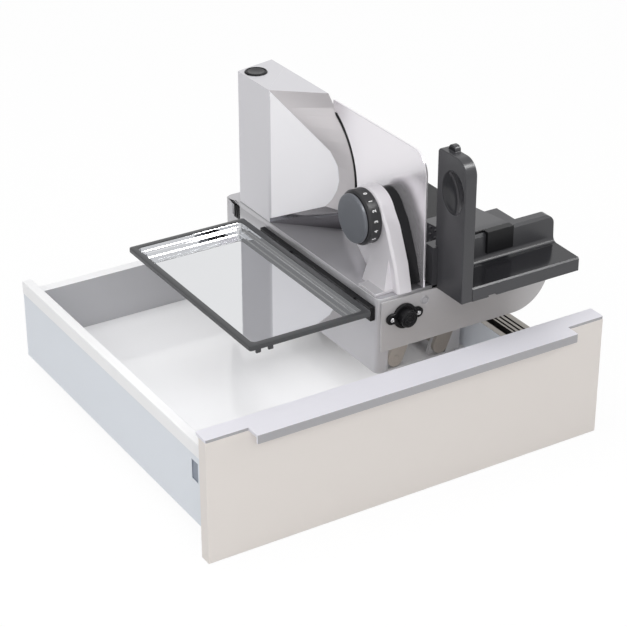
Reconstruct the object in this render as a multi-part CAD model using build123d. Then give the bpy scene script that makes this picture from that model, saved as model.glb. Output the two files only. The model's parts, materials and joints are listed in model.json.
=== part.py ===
"""Kitchen drawer that carries a fold-down electric food slicer.

Everything is laid out in millimetres from the lower left front corner of the drawer front:
+X runs right along the front, +Y to the back of the cabinet and +Z up. The function `write`
moves each finished piece so that the row's origin is the bottom centre of the whole thing.
"""
import os
from math import cos, pi, radians, sin, sqrt, tan

from build123d import *

os.makedirs("parts", exist_ok=True)

# Fits
GAP = 0.3              # between pieces that move past each other
SHAFT_PLAY = 0.05      # radial play of a shaft in its hole

# Drawer front and handle
FRONT_W = 597.0
FRONT_H = 172.0
FRONT_T = 18.0
HANDLE_T = 4.0         # thickness of the handle's top plate
HANDLE_BACK = 8.0      # how far the plate reaches behind the panel
LIP_REACH = 22.0       # how far the grip lip stands in front of the panel
LIP_DROP = 12.0        # height of the lip
LIP_T = 3.0
LIP_INSET = 58.5       # lip ends this far from both ends of the front
LIP_END_R = 2.5

# Drawer box
BOX_INSET = 16.5       # outer face of a side, from the edge of the front
BOX_LEN = 545.0        # length of the sides behind the front
SIDE_Z0 = 20.0
SIDE_H = 118.0
SIDE_T = 14.0
SHEET = 2.0            # walls of the sides
LEDGE_W = 15.0         # ledge that carries the floor
LEDGE_T = 2.0
LOW_SIDE_H = 84.0
LOW_SIDE_W = 50.0
LOW_GROOVE_W = 11.0
LOW_GROOVE_D = 9.0
LOW_RIB_W = 3.0
LOW_RIB_H = 2.0
FLOOR_Z0 = 32.0
FLOOR_T = 16.0
BACK_T = 16.0
BACK_H = 75.0
SIDE_BAND_H = 19.0     # upper band of the tall side, which stands out a little
SIDE_BAND_OUT = 0.8
SLOT_W = 16.0          # adjustment window in the tall side
SLOT_H = 28.0
SLOT_Y = 54.0
SLOT_Z = 61.0
BRACKET_LEN = 58.0
BRACKET_H = 74.0

# Runners
RUNNER_INSET = 64.0    # rail centre line, from the edge of the front
RAIL_W = 28.0
RAIL_H = 14.0
RAIL_WALL = 1.5
RAIL_Z0 = 8.0
RAIL_START = 22.0
RAIL_LEN = 528.0
RAIL_HOLE_R = 2.5
RAIL_HOLE_Y = 60.0
RAIL_HOLE_PITCH = 320.0

# Slicer as a whole, laid out from its own zero
MOUNT_CLEAR = 14.5     # between the floor mount and the low side

# Swing arms
ARM_W = 24.0
ARM_T = 6.0
ARM_RISE = 110.0       # height from the lower to the upper pivot as shown
ARM_LEAN = 23.0        # degrees, to the right
ARM_X = 413.0          # lower pivot of the left pair
ARM_PITCH = 75.0
ARM_Z = 64.0
ARM_FRONT_Y = 212.0
ARM_REAR_Y = 400.0
PIVOT_R = 5.0
EAR_T = 6.0
EAR_R = 12.0
MOUNT_T = 3.0
MOUNT_MARGIN = 28.0
MOUNT_SCREW_R = 2.5
MOUNT_SCREW_DEPTH = 12.0
STOP_H = 30.0
STOP_W = 12.0

# Slicer base
BASE_X0 = 311.0        # left face of the base
BASE_Y0 = 103.0        # front face of the front plate
BASE_DEPTH = 402.0
PLATE_T = 3.0
PLATE_Z0 = 154.0
PLATE_H = 72.0
PLATE_X0 = 315.0
PLATE_X1 = 584.0
PLATE_END_R = 56.0     # big round at the lower right end
SHELL_T = 3.0
SHELL_Z0 = 121.0
SHELL_RETURN = 17.0    # width of the lower skirt
SHELL_CORNER_R = 9.0
DECK_T = 4.0
DECK_TOP = 230.0
DECK_X1 = 395.0
TABLE_T = 5.0
TABLE_TOP = 224.0
TABLE_FLANGE = 3.0
RAIL_X = 440.0
GUIDE_W = 12.0
GUIDE_H = 6.0
BRACKET_W = 116.0
BRACKET_Z0 = 160.0
VENT_W = 3.0
VENT_H = 24.0
VENT_COUNT = 4

# Release button on the front plate
RELEASE_X = 350.0
RELEASE_Z = 199.5
FLANGE_R = 17.5
FLANGE_T = 4.0
EAR_SPREAD = 20.5
FLANGE_EAR_R = 7.5
RELEASE_R = 12.0
RELEASE_OUT = 11.0
SCREW_R = 3.4
SCREW_H = 1.8
RING_X = 382.0
RING_Z = 213.0
RING_R = 6.5

# Blade and drive
BLADE_Y = 374.0
BLADE_Z = 307.0
BLADE_R = 100.0
BLADE_T = 3.0
BLADE_EDGE = 0.5
BEVEL_W = 9.0
CUT_X = 388.5          # plane of the cut
SHAFT_R = 6.0
HUB_R = 24.0
LOCK_R = 22.0
LOCK_T = 7.0
MODULE = 1.25
GEAR_TEETH = 44
PINION_TEETH = 12
GEAR_W = 11.0
GEAR_X = 352.5
FRAME_T = 4.0
MOTOR_R = 22.0
MOTOR_LEN = 27.0
MOTOR_SHAFT_R = 2.5

# Tower
TOWER_X0 = 312.0
TOWER_Y0 = 379.0       # front end of the left face
TOWER_TOP = 425.0
TOWER_BACK_LEFT = 461.0
TOWER_BACK_RIGHT = 475.0
TOWER_WALL = 3.5
HOLLOW_DROP = 19.0     # the drive's space narrows this far below the lean
GUARD_R = 101.0        # rim of the guard around the blade
GUARD_MIN = 47.0       # half chord at which the rim turns straight up
SAIL_LOW = (78.0, 262.5)     # points of the light front face, along it and up
SAIL_NOSE = (97.4, 303.0)
SAIL_HIGH = (85.0, 344.5)
SAIL_TOP = 3.0         # how far the light face reaches at the very top
SAIL_FOOT = 236.0
GUARD_X1 = 384.5
LEAN_DROP = 23.0       # the right wall leans inwards from this far below the top
LEAN_IN = 10.5
FRONT_EDGE_R = 9.0     # round edge between the left wall and the light face
BUTTON_X = 331.0
BUTTON_Y = 444.5
BUTTON_R = 12.5
BUTTON_H = 8.0
BUTTON_OUT = 2.0
BEZEL_W = 3.5
BEZEL_H = 1.5
SWITCH_SIZE = 24.0

# Stop plate and dial
STOP_OPEN = 6.0        # slice thickness set in the picture
STOP_TRAVEL = 20.0
STOP_T = 3.0
STOP_FRONT_Y = 104.0
STOP_BACK_Y = 324.0
STOP_TOP = 416.0
STOP_CORNER_R = 30.0
CUTOUT_R = 111.0
KNOB_Y = 180.0
KNOB_Z = 314.0
KNOB_R = 38.0
KNOB_T = 24.0
KNOB_FACE_R = 36.5
KNOB_RIM_W = 18.5
KNOB_GROOVE = 1.5      # groove between the face and the numbered ring
ARM_CAST_X0 = 341.0
ARM_CAST_X1 = 362.0
CAST_WALL = 5.0
CAST_FRONT = ((104.0, 230.0), (114.0, 268.0), (134.0, 313.0))
CAST_BACK = ((205.0, 261.0), (168.0, 230.0))
CAST_TOP_R = 37.0
FLARE_X0 = 327.0       # left face of the casting at the deck
FLARE_TOP = 274.0      # height from which the casting spreads
FLARE_Y = (116.0, 168.0)
FOOT_X0 = 313.0        # flat foot on the deck
FOOT_Y = (116.0, 155.0)
FOOT_H = 3.5
CAST_EASE = 3.0
SPINDLE_R = 5.0

# Carriage
CAR_X0 = 390.5
CAR_X1 = 585.0
CAR_FRONT = 43.0
CAR_Z0 = 228.0
LIP_TOP = 247.0
SHELF_BACK = 91.0
RIDGE_Y0 = 99.0
RIDGE_T = 19.0
RIDGE_TOP = 287.0
RIDGE_END_R = 13.0     # round upper corner at the right end of the ridge
FOOD_TOP = 252.0
FOOD_T = 6.0
FOOD_BACK = 215.0
GUIDE_BLOCK_W = 24.0
GUARD_PLATE_X0 = 397.0
GUARD_PLATE_T = 17.0
GUARD_TOP = 423.5
GUARD_BACK = 104.0
GUARD_CORNER_R = 22.0
HOLLOW_Y = 70.0        # thumb hollow in the left face of the guard
HOLLOW_Z = 374.0
HOLLOW_SIZE = (36.0, 43.0, 54.0)
HOLLOW_D = 6.0
LUG_Y = (79.0, 94.0)   # lug on top of the guard
LUG_W = 9.0
LUG_RISE = 7.5         # how far the lug stands above the guard
HOLDER_X0 = 430.0
HOLDER_X1 = 513.0
HOLDER_BACK = 183.0
HOLDER_TOP = 290.0
HOLDER_FALL = 7.0      # the top slopes down this much to the back
HOLDER_LIP_Y = 106.0   # front edge of the holder's top, left of the hook
HOLDER_WALL = 4.0
HOOK_X0 = 473.0
HOOK_X1 = 515.0
HOOK_T = 4.0
HOOK_DROP = 31.0

# Tray
TRAY_X0 = 106.0
TRAY_W = 177.0
TRAY_Y0 = 77.0
TRAY_LEN = 325.0
TRAY_TOP = 235.0
TRAY_DEPTH = 16.0
TRAY_STEP = 7.5
TRAY_STEP_Z = 8.0
TRAY_SHEET = 1.2
RIM_W = 6.5
RIM_H = 5.0
TRAY_R = 9.0
TAB_W = 7.0
FINGER_W = 25.0
FINGER_REACH = 112.0
SHELF_H = 4.0

# Worked out from the sizes above
LIP_FRONT = -LIP_REACH
BACK_Y1 = FRONT_T + BOX_LEN
MID_Y = (LIP_FRONT + BACK_Y1) / 2
SIDE_TOP = SIDE_Z0 + SIDE_H
FLOOR_TOP = FLOOR_Z0 + FLOOR_T
BASE_Y1 = BASE_Y0 + BASE_DEPTH
SHELL_Y0 = BASE_Y0 + PLATE_T
SHELL_Y1 = BASE_Y1 - PLATE_T
PLATE_TOP = PLATE_Z0 + PLATE_H
TABLE_Z0 = TABLE_TOP - TABLE_T
ARM_SHIFT = ARM_RISE * tan(radians(ARM_LEAN))
ARM_TOP_Z = ARM_Z + ARM_RISE
GEAR_R = MODULE * GEAR_TEETH / 2
PINION_R = MODULE * PINION_TEETH / 2
MOTOR_Y = BLADE_Y + GEAR_R + PINION_R
BLADE_X0 = CUT_X - BLADE_T
STOP_X1 = CUT_X - STOP_OPEN
STOP_X0 = STOP_X1 - STOP_T
LEAN_Z = TOWER_TOP - LEAN_DROP
LUG_TOP = GUARD_TOP + LUG_RISE
LOW_SIDE_X0 = FRONT_W - BOX_INSET - LOW_SIDE_W
SLICER_X = LOW_SIDE_X0 - MOUNT_CLEAR - (ARM_X + ARM_PITCH + MOUNT_MARGIN)


def block(x0, x1, y0, y1, z0, z1):
    """Box between two corners."""
    return Pos((x0 + x1) / 2, (y0 + y1) / 2, (z0 + z1) / 2) * Box(x1 - x0, y1 - y0, z1 - z0)


def rod_x(r, x0, x1, y, z):
    """Cylinder along X."""
    return Pos((x0 + x1) / 2, y, z) * Rot(0, 90, 0) * Cylinder(r, x1 - x0)


def rod_y(r, y0, y1, x, z):
    """Cylinder along Y."""
    return Pos(x, (y0 + y1) / 2, z) * Rot(90, 0, 0) * Cylinder(r, y1 - y0)


def rod_z(r, z0, z1, x, y):
    """Cylinder along Z."""
    return Pos(x, y, (z0 + z1) / 2) * Cylinder(r, z1 - z0)


def plane_x(x):
    """Drawing plane square to X: its axes are Y and Z."""
    return Plane(origin=(x, 0, 0), x_dir=(0, 1, 0), z_dir=(1, 0, 0))


def plane_y(y):
    """Drawing plane square to Y, seen from the front: its axes are X and Z."""
    return Plane(origin=(0, y, 0), x_dir=(1, 0, 0), z_dir=(0, -1, 0))


def prism_x(outline, x0, x1):
    """Closed outline of (y, z) points or edges, carried from x0 to x1."""
    return extrude(plane_x(x0) * closed_face(outline), amount=x1 - x0)


def prism_y(outline, y0, y1):
    """Closed outline of (x, z) points or edges, carried from y0 to y1."""
    return extrude(plane_y(y1) * closed_face(outline), amount=y1 - y0)


def prism_z(outline, z0, z1):
    """Closed outline of (x, y) points or edges, carried from z0 to z1."""
    return extrude(Plane.XY.offset(z0) * closed_face(outline), amount=z1 - z0)


def closed_face(outline):
    """Face inside a list of points, or inside edges that already close."""
    if isinstance(outline, (list, tuple)):
        return make_face(Polyline(*outline, close=True))
    return make_face(outline)


def mirrored_x(x):
    """The same place measured from the right end of the front."""
    return FRONT_W - x


def write(node, *solids):
    """Save one node, moved so that the origin is the bottom centre of the whole."""
    move = Location((-FRONT_W / 2, -MID_Y, 0))
    pieces = [s.moved(move) for s in solids]
    export_step(pieces[0] if len(pieces) == 1 else Compound(pieces), f"parts/{node}.step")


def write_slicer(node, *solids):
    """Save one node of the slicer, which keeps its distance from the right end of the front."""
    write(node, *[s.moved(Location((SLICER_X, 0, 0))) for s in solids])


# Runners
def channel(x, width, z0, z1, y0, length):
    """Rail of U section, open at the top."""
    half = width / 2
    outer = block(x - half, x + half, y0, y0 + length, z0, z1)
    inner = block(x - half + RAIL_WALL, x + half - RAIL_WALL, y0 - 1, y0 + length + 1,
                  z0 + RAIL_WALL, z1 + 1)
    return outer - inner


def runner(x, side):
    """Cabinet, middle and drawer rail of one runner, nested with a sliding gap."""
    step = RAIL_WALL + GAP
    cabinet = channel(x, RAIL_W, RAIL_Z0, RAIL_Z0 + RAIL_H, RAIL_START, RAIL_LEN)
    for k in (0, 1):
        y = RAIL_HOLE_Y + k * RAIL_HOLE_PITCH
        cabinet -= rod_z(RAIL_HOLE_R, RAIL_Z0 - 1, RAIL_Z0 + RAIL_WALL + 1, x, y)
    middle = channel(x, RAIL_W - 2 * step, RAIL_Z0 + step, RAIL_Z0 + RAIL_H - 1, RAIL_START, RAIL_LEN)
    half = RAIL_W / 2 - 2 * step
    low = RAIL_Z0 + 2 * step
    drawer = block(x - half, x + half, RAIL_START, RAIL_START + RAIL_LEN, low, FLOOR_Z0)
    drawer -= block(x - half + RAIL_WALL, x + half - RAIL_WALL, RAIL_START - 1,
                    RAIL_START + RAIL_LEN + 1, low + RAIL_WALL, FLOOR_Z0 - RAIL_WALL)
    write(f"cabinet_rail_{side}", cabinet)
    write(f"middle_rail_{side}", middle)
    write(f"drawer_rail_{side}", drawer)


# Drawer box
def drawer_front():
    """Flat front panel with eased edges."""
    panel = block(0, FRONT_W, 0, FRONT_T, 0, FRONT_H)
    return fillet(panel.edges().filter_by(Axis.Z), 1.0)


def handle_profile():
    """Plate along the top of the front, with a lip to pull on."""
    top = FRONT_H + HANDLE_T
    plate = block(0, FRONT_W, 0, FRONT_T + HANDLE_BACK, FRONT_H, top)
    plate = fillet(plate.edges().filter_by(Axis.Z), 2.5)
    tail = block(2.5, FRONT_W - 2.5, FRONT_T + HANDLE_BACK - LIP_T, FRONT_T + HANDLE_BACK,
                 FRONT_H - HANDLE_T, FRONT_H)
    lip_outline = [(LIP_FRONT, top), (1, top), (1, FRONT_H), (LIP_FRONT + LIP_T, FRONT_H),
                   (LIP_FRONT + LIP_T, top - LIP_DROP), (LIP_FRONT, top - LIP_DROP)]
    lip = prism_x(lip_outline, LIP_INSET, FRONT_W - LIP_INSET)
    lip = fillet(lip.edges().filter_by(Axis.Z).group_by(Axis.Y)[0], LIP_END_R)
    return plate + tail + lip


def side_left():
    """Tall metal side: hollow section with a ledge for the floor."""
    x0, x1 = BOX_INSET, BOX_INSET + SIDE_T
    body = block(x0, x1, FRONT_T, BACK_Y1, SIDE_Z0, SIDE_TOP)
    body = fillet(body.edges().filter_by(Axis.Y).sort_by(Axis.Z)[-2:], 1.2)
    body -= block(x0 + SHEET, x1 - SHEET, FRONT_T - 1, BACK_Y1 + 1, SIDE_Z0 + SHEET, SIDE_TOP - SHEET)
    body -= block(x0 - 1, x0 + SIDE_BAND_OUT, FRONT_T - 1, BACK_Y1 + 1, SIDE_Z0 - 1, SIDE_TOP - SIDE_BAND_H)
    ledge = block(x1, x1 + LEDGE_W, FRONT_T, BACK_Y1, FLOOR_Z0 - LEDGE_T, FLOOR_Z0)
    window = block(x0 - 1, x0 + SHEET + 1, SLOT_Y, SLOT_Y + SLOT_W,
                   SIDE_Z0 + SLOT_Z, SIDE_Z0 + SLOT_Z + SLOT_H)
    return body + ledge - window


def side_right():
    """Low, wide metal side with ribs along its top, so that the slicer clears it."""
    x1 = mirrored_x(BOX_INSET)
    x0 = x1 - SIDE_T
    wide_x0 = x1 - LOW_SIDE_W
    top = SIDE_Z0 + LOW_SIDE_H
    body = block(x0, x1, FRONT_T, BACK_Y1, SIDE_Z0, top) + block(wide_x0, x0, FRONT_T, BACK_Y1,
                                                                FLOOR_TOP, top)
    hollow = block(x0 + SHEET, x1 - SHEET, FRONT_T - 1, BACK_Y1 + 1, SIDE_Z0 + SHEET,
                   top - LOW_GROOVE_D - 2 * SHEET)
    hollow += block(wide_x0 + SHEET, x0 + SHEET + 1, FRONT_T - 1, BACK_Y1 + 1, FLOOR_TOP + SHEET,
                    top - LOW_GROOVE_D - 2 * SHEET)
    body -= hollow
    groove_x = wide_x0 + 3 * LOW_RIB_W
    body -= block(groove_x, groove_x + LOW_GROOVE_W, FRONT_T - 1, BACK_Y1 + 1, top - LOW_GROOVE_D, top + 1)
    for k in range(3):
        x = groove_x + LOW_GROOVE_W + LOW_RIB_W * (1 + 2.5 * k)
        body -= block(x, x + LOW_RIB_W, FRONT_T - 1, BACK_Y1 + 1, top - LOW_RIB_H, top + 1)
    ledge = block(x0 - LEDGE_W, x0, FRONT_T, BACK_Y1, FLOOR_Z0 - LEDGE_T, FLOOR_Z0)
    return body + ledge


def front_brackets():
    """Fixings inside the ends of both sides, against the back of the front."""
    y1 = FRONT_T + BRACKET_LEN
    half = (SIDE_T - 2 * SHEET) / 2 - GAP
    pieces = []
    for x, z0, height in ((BOX_INSET + SIDE_T / 2, SIDE_Z0 + 30, BRACKET_H),
                          (mirrored_x(BOX_INSET + SIDE_T / 2), SIDE_Z0 + 12, BRACKET_H - 20)):
        body = block(x - half, x + half, FRONT_T, y1, z0, z0 + height)
        pieces.append(fillet(body.edges().filter_by(Axis.X), 4.0))
    return pieces


def mount_screw_places():
    """The four screws that hold the floor mount, as (x, y)."""
    x0 = ARM_X - MOUNT_MARGIN / 2
    x1 = ARM_X + ARM_PITCH + MOUNT_MARGIN / 2
    y0 = ARM_FRONT_Y + ARM_T + EAR_T + MOUNT_MARGIN / 2
    y1 = ARM_REAR_Y - EAR_T - MOUNT_MARGIN / 2
    return [(x, y) for x in (x0, x1) for y in (y0, y1)]


def drawer_floor():
    """Floor panel with the blind holes for the mount's screws."""
    inner = BOX_INSET + SIDE_T
    panel = block(inner, mirrored_x(inner), FRONT_T, BACK_Y1, FLOOR_Z0, FLOOR_TOP)
    for x, y in mount_screw_places():
        panel -= rod_z(MOUNT_SCREW_R, FLOOR_TOP - MOUNT_SCREW_DEPTH, FLOOR_TOP + 1, x + SLICER_X, y)
    return panel


def back_wall():
    """Back panel that stands on the floor between the sides."""
    x0 = BOX_INSET + SIDE_T
    x1 = mirrored_x(BOX_INSET + LOW_SIDE_W)
    panel = block(x0, x1, BACK_Y1 - BACK_T, BACK_Y1, FLOOR_TOP, FLOOR_TOP + BACK_H)
    return fillet(panel.edges().filter_by(Axis.X).sort_by(Axis.Z)[-2:], 1.5)


# Floor mount and swing arms
def pivot_xs():
    """Lower pivots of the left and the right pair."""
    return ARM_X, ARM_X + ARM_PITCH


def ear_ys():
    """Front faces of the bearing ears, behind the front arms and before the rear arms."""
    return ARM_FRONT_Y + ARM_T + GAP, ARM_REAR_Y - GAP - EAR_T


def floor_mount():
    """Base plate with four bearing ears for the lower pivots."""
    x0, x1 = ARM_X - MOUNT_MARGIN, ARM_X + ARM_PITCH + MOUNT_MARGIN
    y0, y1 = ARM_FRONT_Y, ARM_REAR_Y + ARM_T
    top = FLOOR_TOP + MOUNT_T
    body = block(x0, x1, y0, y1, FLOOR_TOP, top)
    body = fillet(body.edges().filter_by(Axis.Z), 6.0)
    for x in pivot_xs():
        for y in ear_ys():
            foot = EAR_R * 1.4
            web = prism_y([(x - foot, top), (x + foot, top), (x + EAR_R * 0.9, ARM_Z + EAR_R * 0.4),
                           (x - EAR_R * 0.9, ARM_Z + EAR_R * 0.4)], y, y + EAR_T)
            body += web + rod_y(EAR_R, y, y + EAR_T, x, ARM_Z)
            body -= rod_y(PIVOT_R, y - 1, y + EAR_T + 1, x, ARM_Z)
    for x, y in mount_screw_places():
        body -= rod_z(MOUNT_SCREW_R, FLOOR_TOP - 1, top + 1, x, y)
    return body


def mount_screws():
    """Hexagon head screws through the mount into the floor."""
    top = FLOOR_TOP + MOUNT_T
    screws = []
    for x, y in mount_screw_places():
        head = Pos(x, y, top) * extrude(RegularPolygon(MOUNT_SCREW_R * 1.8, 6), 3.0)
        screws.append(head + rod_z(MOUNT_SCREW_R, FLOOR_TOP - MOUNT_SCREW_DEPTH, top, x, y))
    return screws


def lower_shafts():
    """Two long shafts in the ears, with the arms on their ends."""
    return [rod_y(PIVOT_R, ARM_FRONT_Y, ARM_REAR_Y + ARM_T, x, ARM_Z) for x in pivot_xs()]


def arm_stop():
    """Rubber faced wedge on which the right pair leans."""
    lean = radians(ARM_LEAN)
    reach = (ARM_W / 2 + GAP) / cos(lean)
    x = ARM_X + ARM_PITCH
    low, high = FLOOR_TOP + MOUNT_T, FLOOR_TOP + MOUNT_T + STOP_H

    def edge_x(z):
        """Right edge of the leaning arm at height z."""
        return x + (z - ARM_Z) * tan(lean) + reach

    outline = [(edge_x(low), low), (edge_x(high) + STOP_W, low), (edge_x(high) + STOP_W, high),
               (edge_x(high), high)]
    return prism_y(outline, ARM_FRONT_Y, ARM_FRONT_Y + ARM_T)


def arm_bar(x, y):
    """Flat bar from a lower pivot to its upper pivot, leaning to the right."""
    length = ARM_RISE / cos(radians(ARM_LEAN))
    bar = block(-ARM_W / 2, ARM_W / 2, 0, ARM_T, 0, length)
    bar += rod_y(ARM_W / 2, 0, ARM_T, 0, 0) + rod_y(ARM_W / 2, 0, ARM_T, 0, length)
    bar -= rod_y(PIVOT_R + SHAFT_PLAY, -1, ARM_T + 1, 0, 0)
    bar -= rod_y(PIVOT_R, -1, ARM_T + 1, 0, length)
    return Pos(x, y, ARM_Z) * Rot(0, ARM_LEAN, 0) * bar


def cross_shaft(x):
    """Upper shaft that joins the front and rear arm of a pair."""
    return rod_y(PIVOT_R, ARM_FRONT_Y, ARM_REAR_Y + ARM_T, x + ARM_SHIFT, ARM_TOP_Z)


def swing_brackets():
    """Two webs under the table that hang on the upper shafts."""
    x_mid = ARM_X + ARM_SHIFT + ARM_PITCH / 2
    pieces = []
    for y in ear_ys():
        web = block(x_mid - BRACKET_W / 2, x_mid + BRACKET_W / 2, y, y + EAR_T, BRACKET_Z0, TABLE_Z0)
        web = fillet(web.edges().filter_by(Axis.Y).sort_by(Axis.Z)[:2], 10.0)
        for x in pivot_xs():
            web -= rod_y(PIVOT_R + SHAFT_PLAY, y - 1, y + EAR_T + 1, x + ARM_SHIFT, ARM_TOP_Z)
        web -= rod_y(13.0, y - 1, y + EAR_T + 1, x_mid, (BRACKET_Z0 + TABLE_Z0) / 2 + 6)
        pieces.append(web)
    return pieces


# Slicer base
def end_plate(y0):
    """Outline shared by the front and the rear plate, with its big round end."""
    corner_z = PLATE_Z0 + PLATE_END_R
    corner_x = PLATE_X1 - PLATE_END_R
    outline = Curve() + [
        Polyline((corner_x, PLATE_Z0), (PLATE_X0, PLATE_Z0), (PLATE_X0, PLATE_TOP),
                 (PLATE_X1, PLATE_TOP), (PLATE_X1, corner_z)),
        CenterArc((corner_x, corner_z), PLATE_END_R, -90, 90),
    ]
    return prism_y(outline, y0, y0 + PLATE_T)


def front_plate():
    """Front plate with the openings for the release button and the ring."""
    body = end_plate(BASE_Y0)
    body = fillet(body.edges().filter_by(Axis.Y).sort_by(Axis.X)[:2], 1.5)
    body -= rod_y(RELEASE_R + GAP, BASE_Y0 - 1, BASE_Y0 + PLATE_T + 1, RELEASE_X, RELEASE_Z)
    body -= rod_y(RING_R - 2, BASE_Y0 - 1, BASE_Y0 + PLATE_T + 1, RING_X, RING_Z)
    return body


def base_shell():
    """Left wall, deck and lower skirt of the base, pressed from one piece."""
    body = block(BASE_X0, DECK_X1, SHELL_Y0, SHELL_Y1, SHELL_Z0, DECK_TOP)
    body = fillet(body.edges().filter_by(Axis.Z).sort_by(Axis.X)[:2], SHELL_CORNER_R)
    body = fillet(body.faces().sort_by(Axis.Z)[-1].edges().sort_by(Axis.X)[0], 1.5)
    inner = block(BASE_X0 + SHELL_T, DECK_X1 + 1, SHELL_Y0 + SHELL_T, SHELL_Y1 - SHELL_T,
                  SHELL_Z0 - 1, DECK_TOP - DECK_T)
    inner = fillet(inner.edges().filter_by(Axis.Z).sort_by(Axis.X)[:2], SHELL_CORNER_R - SHELL_T)
    body -= inner
    body -= block(BASE_X0 + SHELL_RETURN, DECK_X1 + 1, SHELL_Y0 - 1, SHELL_Y1 + 1,
                  SHELL_Z0 - 1, PLATE_Z0)
    chord = sqrt(BLADE_R ** 2 - (BLADE_Z - DECK_TOP) ** 2) + 4
    body -= block(BLADE_X0 - 1.5, CUT_X + 1.5, BLADE_Y - chord, BLADE_Y + chord,
                  DECK_TOP - DECK_T - 1, DECK_TOP + 1)
    body -= rod_y(RELEASE_R + GAP, SHELL_Y0 - 1, SHELL_Y0 + SHELL_T + 1, RELEASE_X, RELEASE_Z)
    for k in range(VENT_COUNT):
        y = TOWER_BACK_LEFT + VENT_W * 2 * k
        body -= block(BASE_X0 - 1, BASE_X0 + SHELL_T + 1, y, y + VENT_W,
                      DECK_TOP - DECK_T - VENT_H, DECK_TOP - 2 * DECK_T)
    return body


def table_deck():
    """Right half of the deck, under the carriage, with turned down edges."""
    x1 = PLATE_X1 - 3
    body = block(DECK_X1, x1, SHELL_Y0, SHELL_Y1, TABLE_Z0, TABLE_TOP)
    flange = block(DECK_X1, DECK_X1 + TABLE_FLANGE, SHELL_Y0, SHELL_Y1, TABLE_Z0 - 30, TABLE_Z0)
    return body + flange


def carriage_rail():
    """Straight rail on which the carriage runs."""
    body = block(RAIL_X, RAIL_X + GUIDE_W, SHELL_Y0 + 2, SHELL_Y1 - 2, TABLE_TOP, TABLE_TOP + GUIDE_H)
    return chamfer(body.edges().filter_by(Axis.Y).sort_by(Axis.Z)[-2:], 1.0)


def release_flange():
    """Oval plastic flange round the release button, with two screw ears."""
    y0 = BASE_Y0 - FLANGE_T
    body = rod_y(FLANGE_R, y0, BASE_Y0, RELEASE_X, RELEASE_Z)
    half = FLANGE_EAR_R
    body += block(RELEASE_X - EAR_SPREAD, RELEASE_X + EAR_SPREAD, y0, BASE_Y0,
                  RELEASE_Z - half, RELEASE_Z + half)
    for x in (RELEASE_X - EAR_SPREAD, RELEASE_X + EAR_SPREAD):
        body += rod_y(half, y0, BASE_Y0, x, RELEASE_Z)
    body = chamfer(body.faces().sort_by(Axis.Y)[0].edges(), 1.0)
    return body - rod_y(RELEASE_R + GAP, y0 - 1, BASE_Y0 + 1, RELEASE_X, RELEASE_Z)


def release_button():
    """Round button with a stem that goes through the front plate."""
    y0 = BASE_Y0 - FLANGE_T - RELEASE_OUT
    body = rod_y(RELEASE_R, y0, SHELL_Y0 + SHELL_T + 4, RELEASE_X, RELEASE_Z)
    return chamfer(body.edges().sort_by(Axis.Y)[:1], 1.5)


def release_screws():
    """Two bright screws in the ears of the flange."""
    y1 = BASE_Y0 - FLANGE_T
    screws = []
    for x in (RELEASE_X - EAR_SPREAD, RELEASE_X + EAR_SPREAD):
        head = rod_y(SCREW_R, y1 - SCREW_H, y1, x, RELEASE_Z)
        screws.append(chamfer(head.edges().sort_by(Axis.Y)[:1], 0.7))
    return screws


def plug_ring():
    """Small ring round the end of the hinge pin in the front plate."""
    ring = rod_y(RING_R, BASE_Y0 - 1.2, BASE_Y0, RING_X, RING_Z)
    pin = rod_y(RING_R - 2, BASE_Y0 - 1.2, SHELL_Y0, RING_X, RING_Z)
    return ring + pin


def tray_rail():
    """Black rail on the left wall, with two fingers that carry the tray."""
    top = TRAY_TOP - TRAY_DEPTH - GAP
    y0, y1 = BASE_Y0 + 9, TRAY_Y0 + TRAY_LEN - 10
    body = block(BASE_X0 - 7, BASE_X0, y0, y1, top - 20, top)
    for y in (TRAY_Y0 + 70, TRAY_Y0 + TRAY_LEN - 95):
        finger = block(BASE_X0 - FINGER_REACH, BASE_X0 - 7, y, y + FINGER_W, top - SHELF_H, top)
        body += fillet(finger.edges().filter_by(Axis.Z).sort_by(Axis.X)[:2], 6.0)
    return body


# Tower
def sail_arc():
    """Centre and radius of the round nose of the light front face."""
    (x1, y1), (x2, y2), (x3, y3) = SAIL_LOW, SAIL_NOSE, SAIL_HIGH
    d = 2 * (x1 * (y2 - y3) + x2 * (y3 - y1) + x3 * (y1 - y2))
    s1, s2, s3 = x1 ** 2 + y1 ** 2, x2 ** 2 + y2 ** 2, x3 ** 2 + y3 ** 2
    cu = (s1 * (y2 - y3) + s2 * (y3 - y1) + s3 * (y1 - y2)) / d
    cz = (s1 * (x3 - x2) + s2 * (x1 - x3) + s3 * (x2 - x1)) / d
    return cu, cz, sqrt((x1 - cu) ** 2 + (y1 - cz) ** 2)


def sail_edge(z):
    """How far the light face reaches along itself at height z."""
    if z >= SAIL_HIGH[1]:
        share = (TOWER_TOP - z) / (TOWER_TOP - SAIL_HIGH[1])
        return SAIL_TOP + (SAIL_HIGH[0] - SAIL_TOP) * share
    if z <= SAIL_LOW[1]:
        return SAIL_LOW[0] * (z - SAIL_FOOT) / (SAIL_LOW[1] - SAIL_FOOT)
    cu, cz, r = sail_arc()
    return cu + sqrt(r ** 2 - (z - cz) ** 2)


def rim_y(z):
    """Front edge of the guard at height z, round the blade and then straight up."""
    half = max(GUARD_R ** 2 - (z - BLADE_Z) ** 2, GUARD_MIN ** 2)
    return BLADE_Y - sqrt(half)


def right_x(z):
    """Right wall of the tower at height z: upright, then leaning inwards."""
    return GUARD_X1 - LEAN_IN * max(z - LEAN_Z, 0) / (TOWER_TOP - LEAN_Z)


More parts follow.
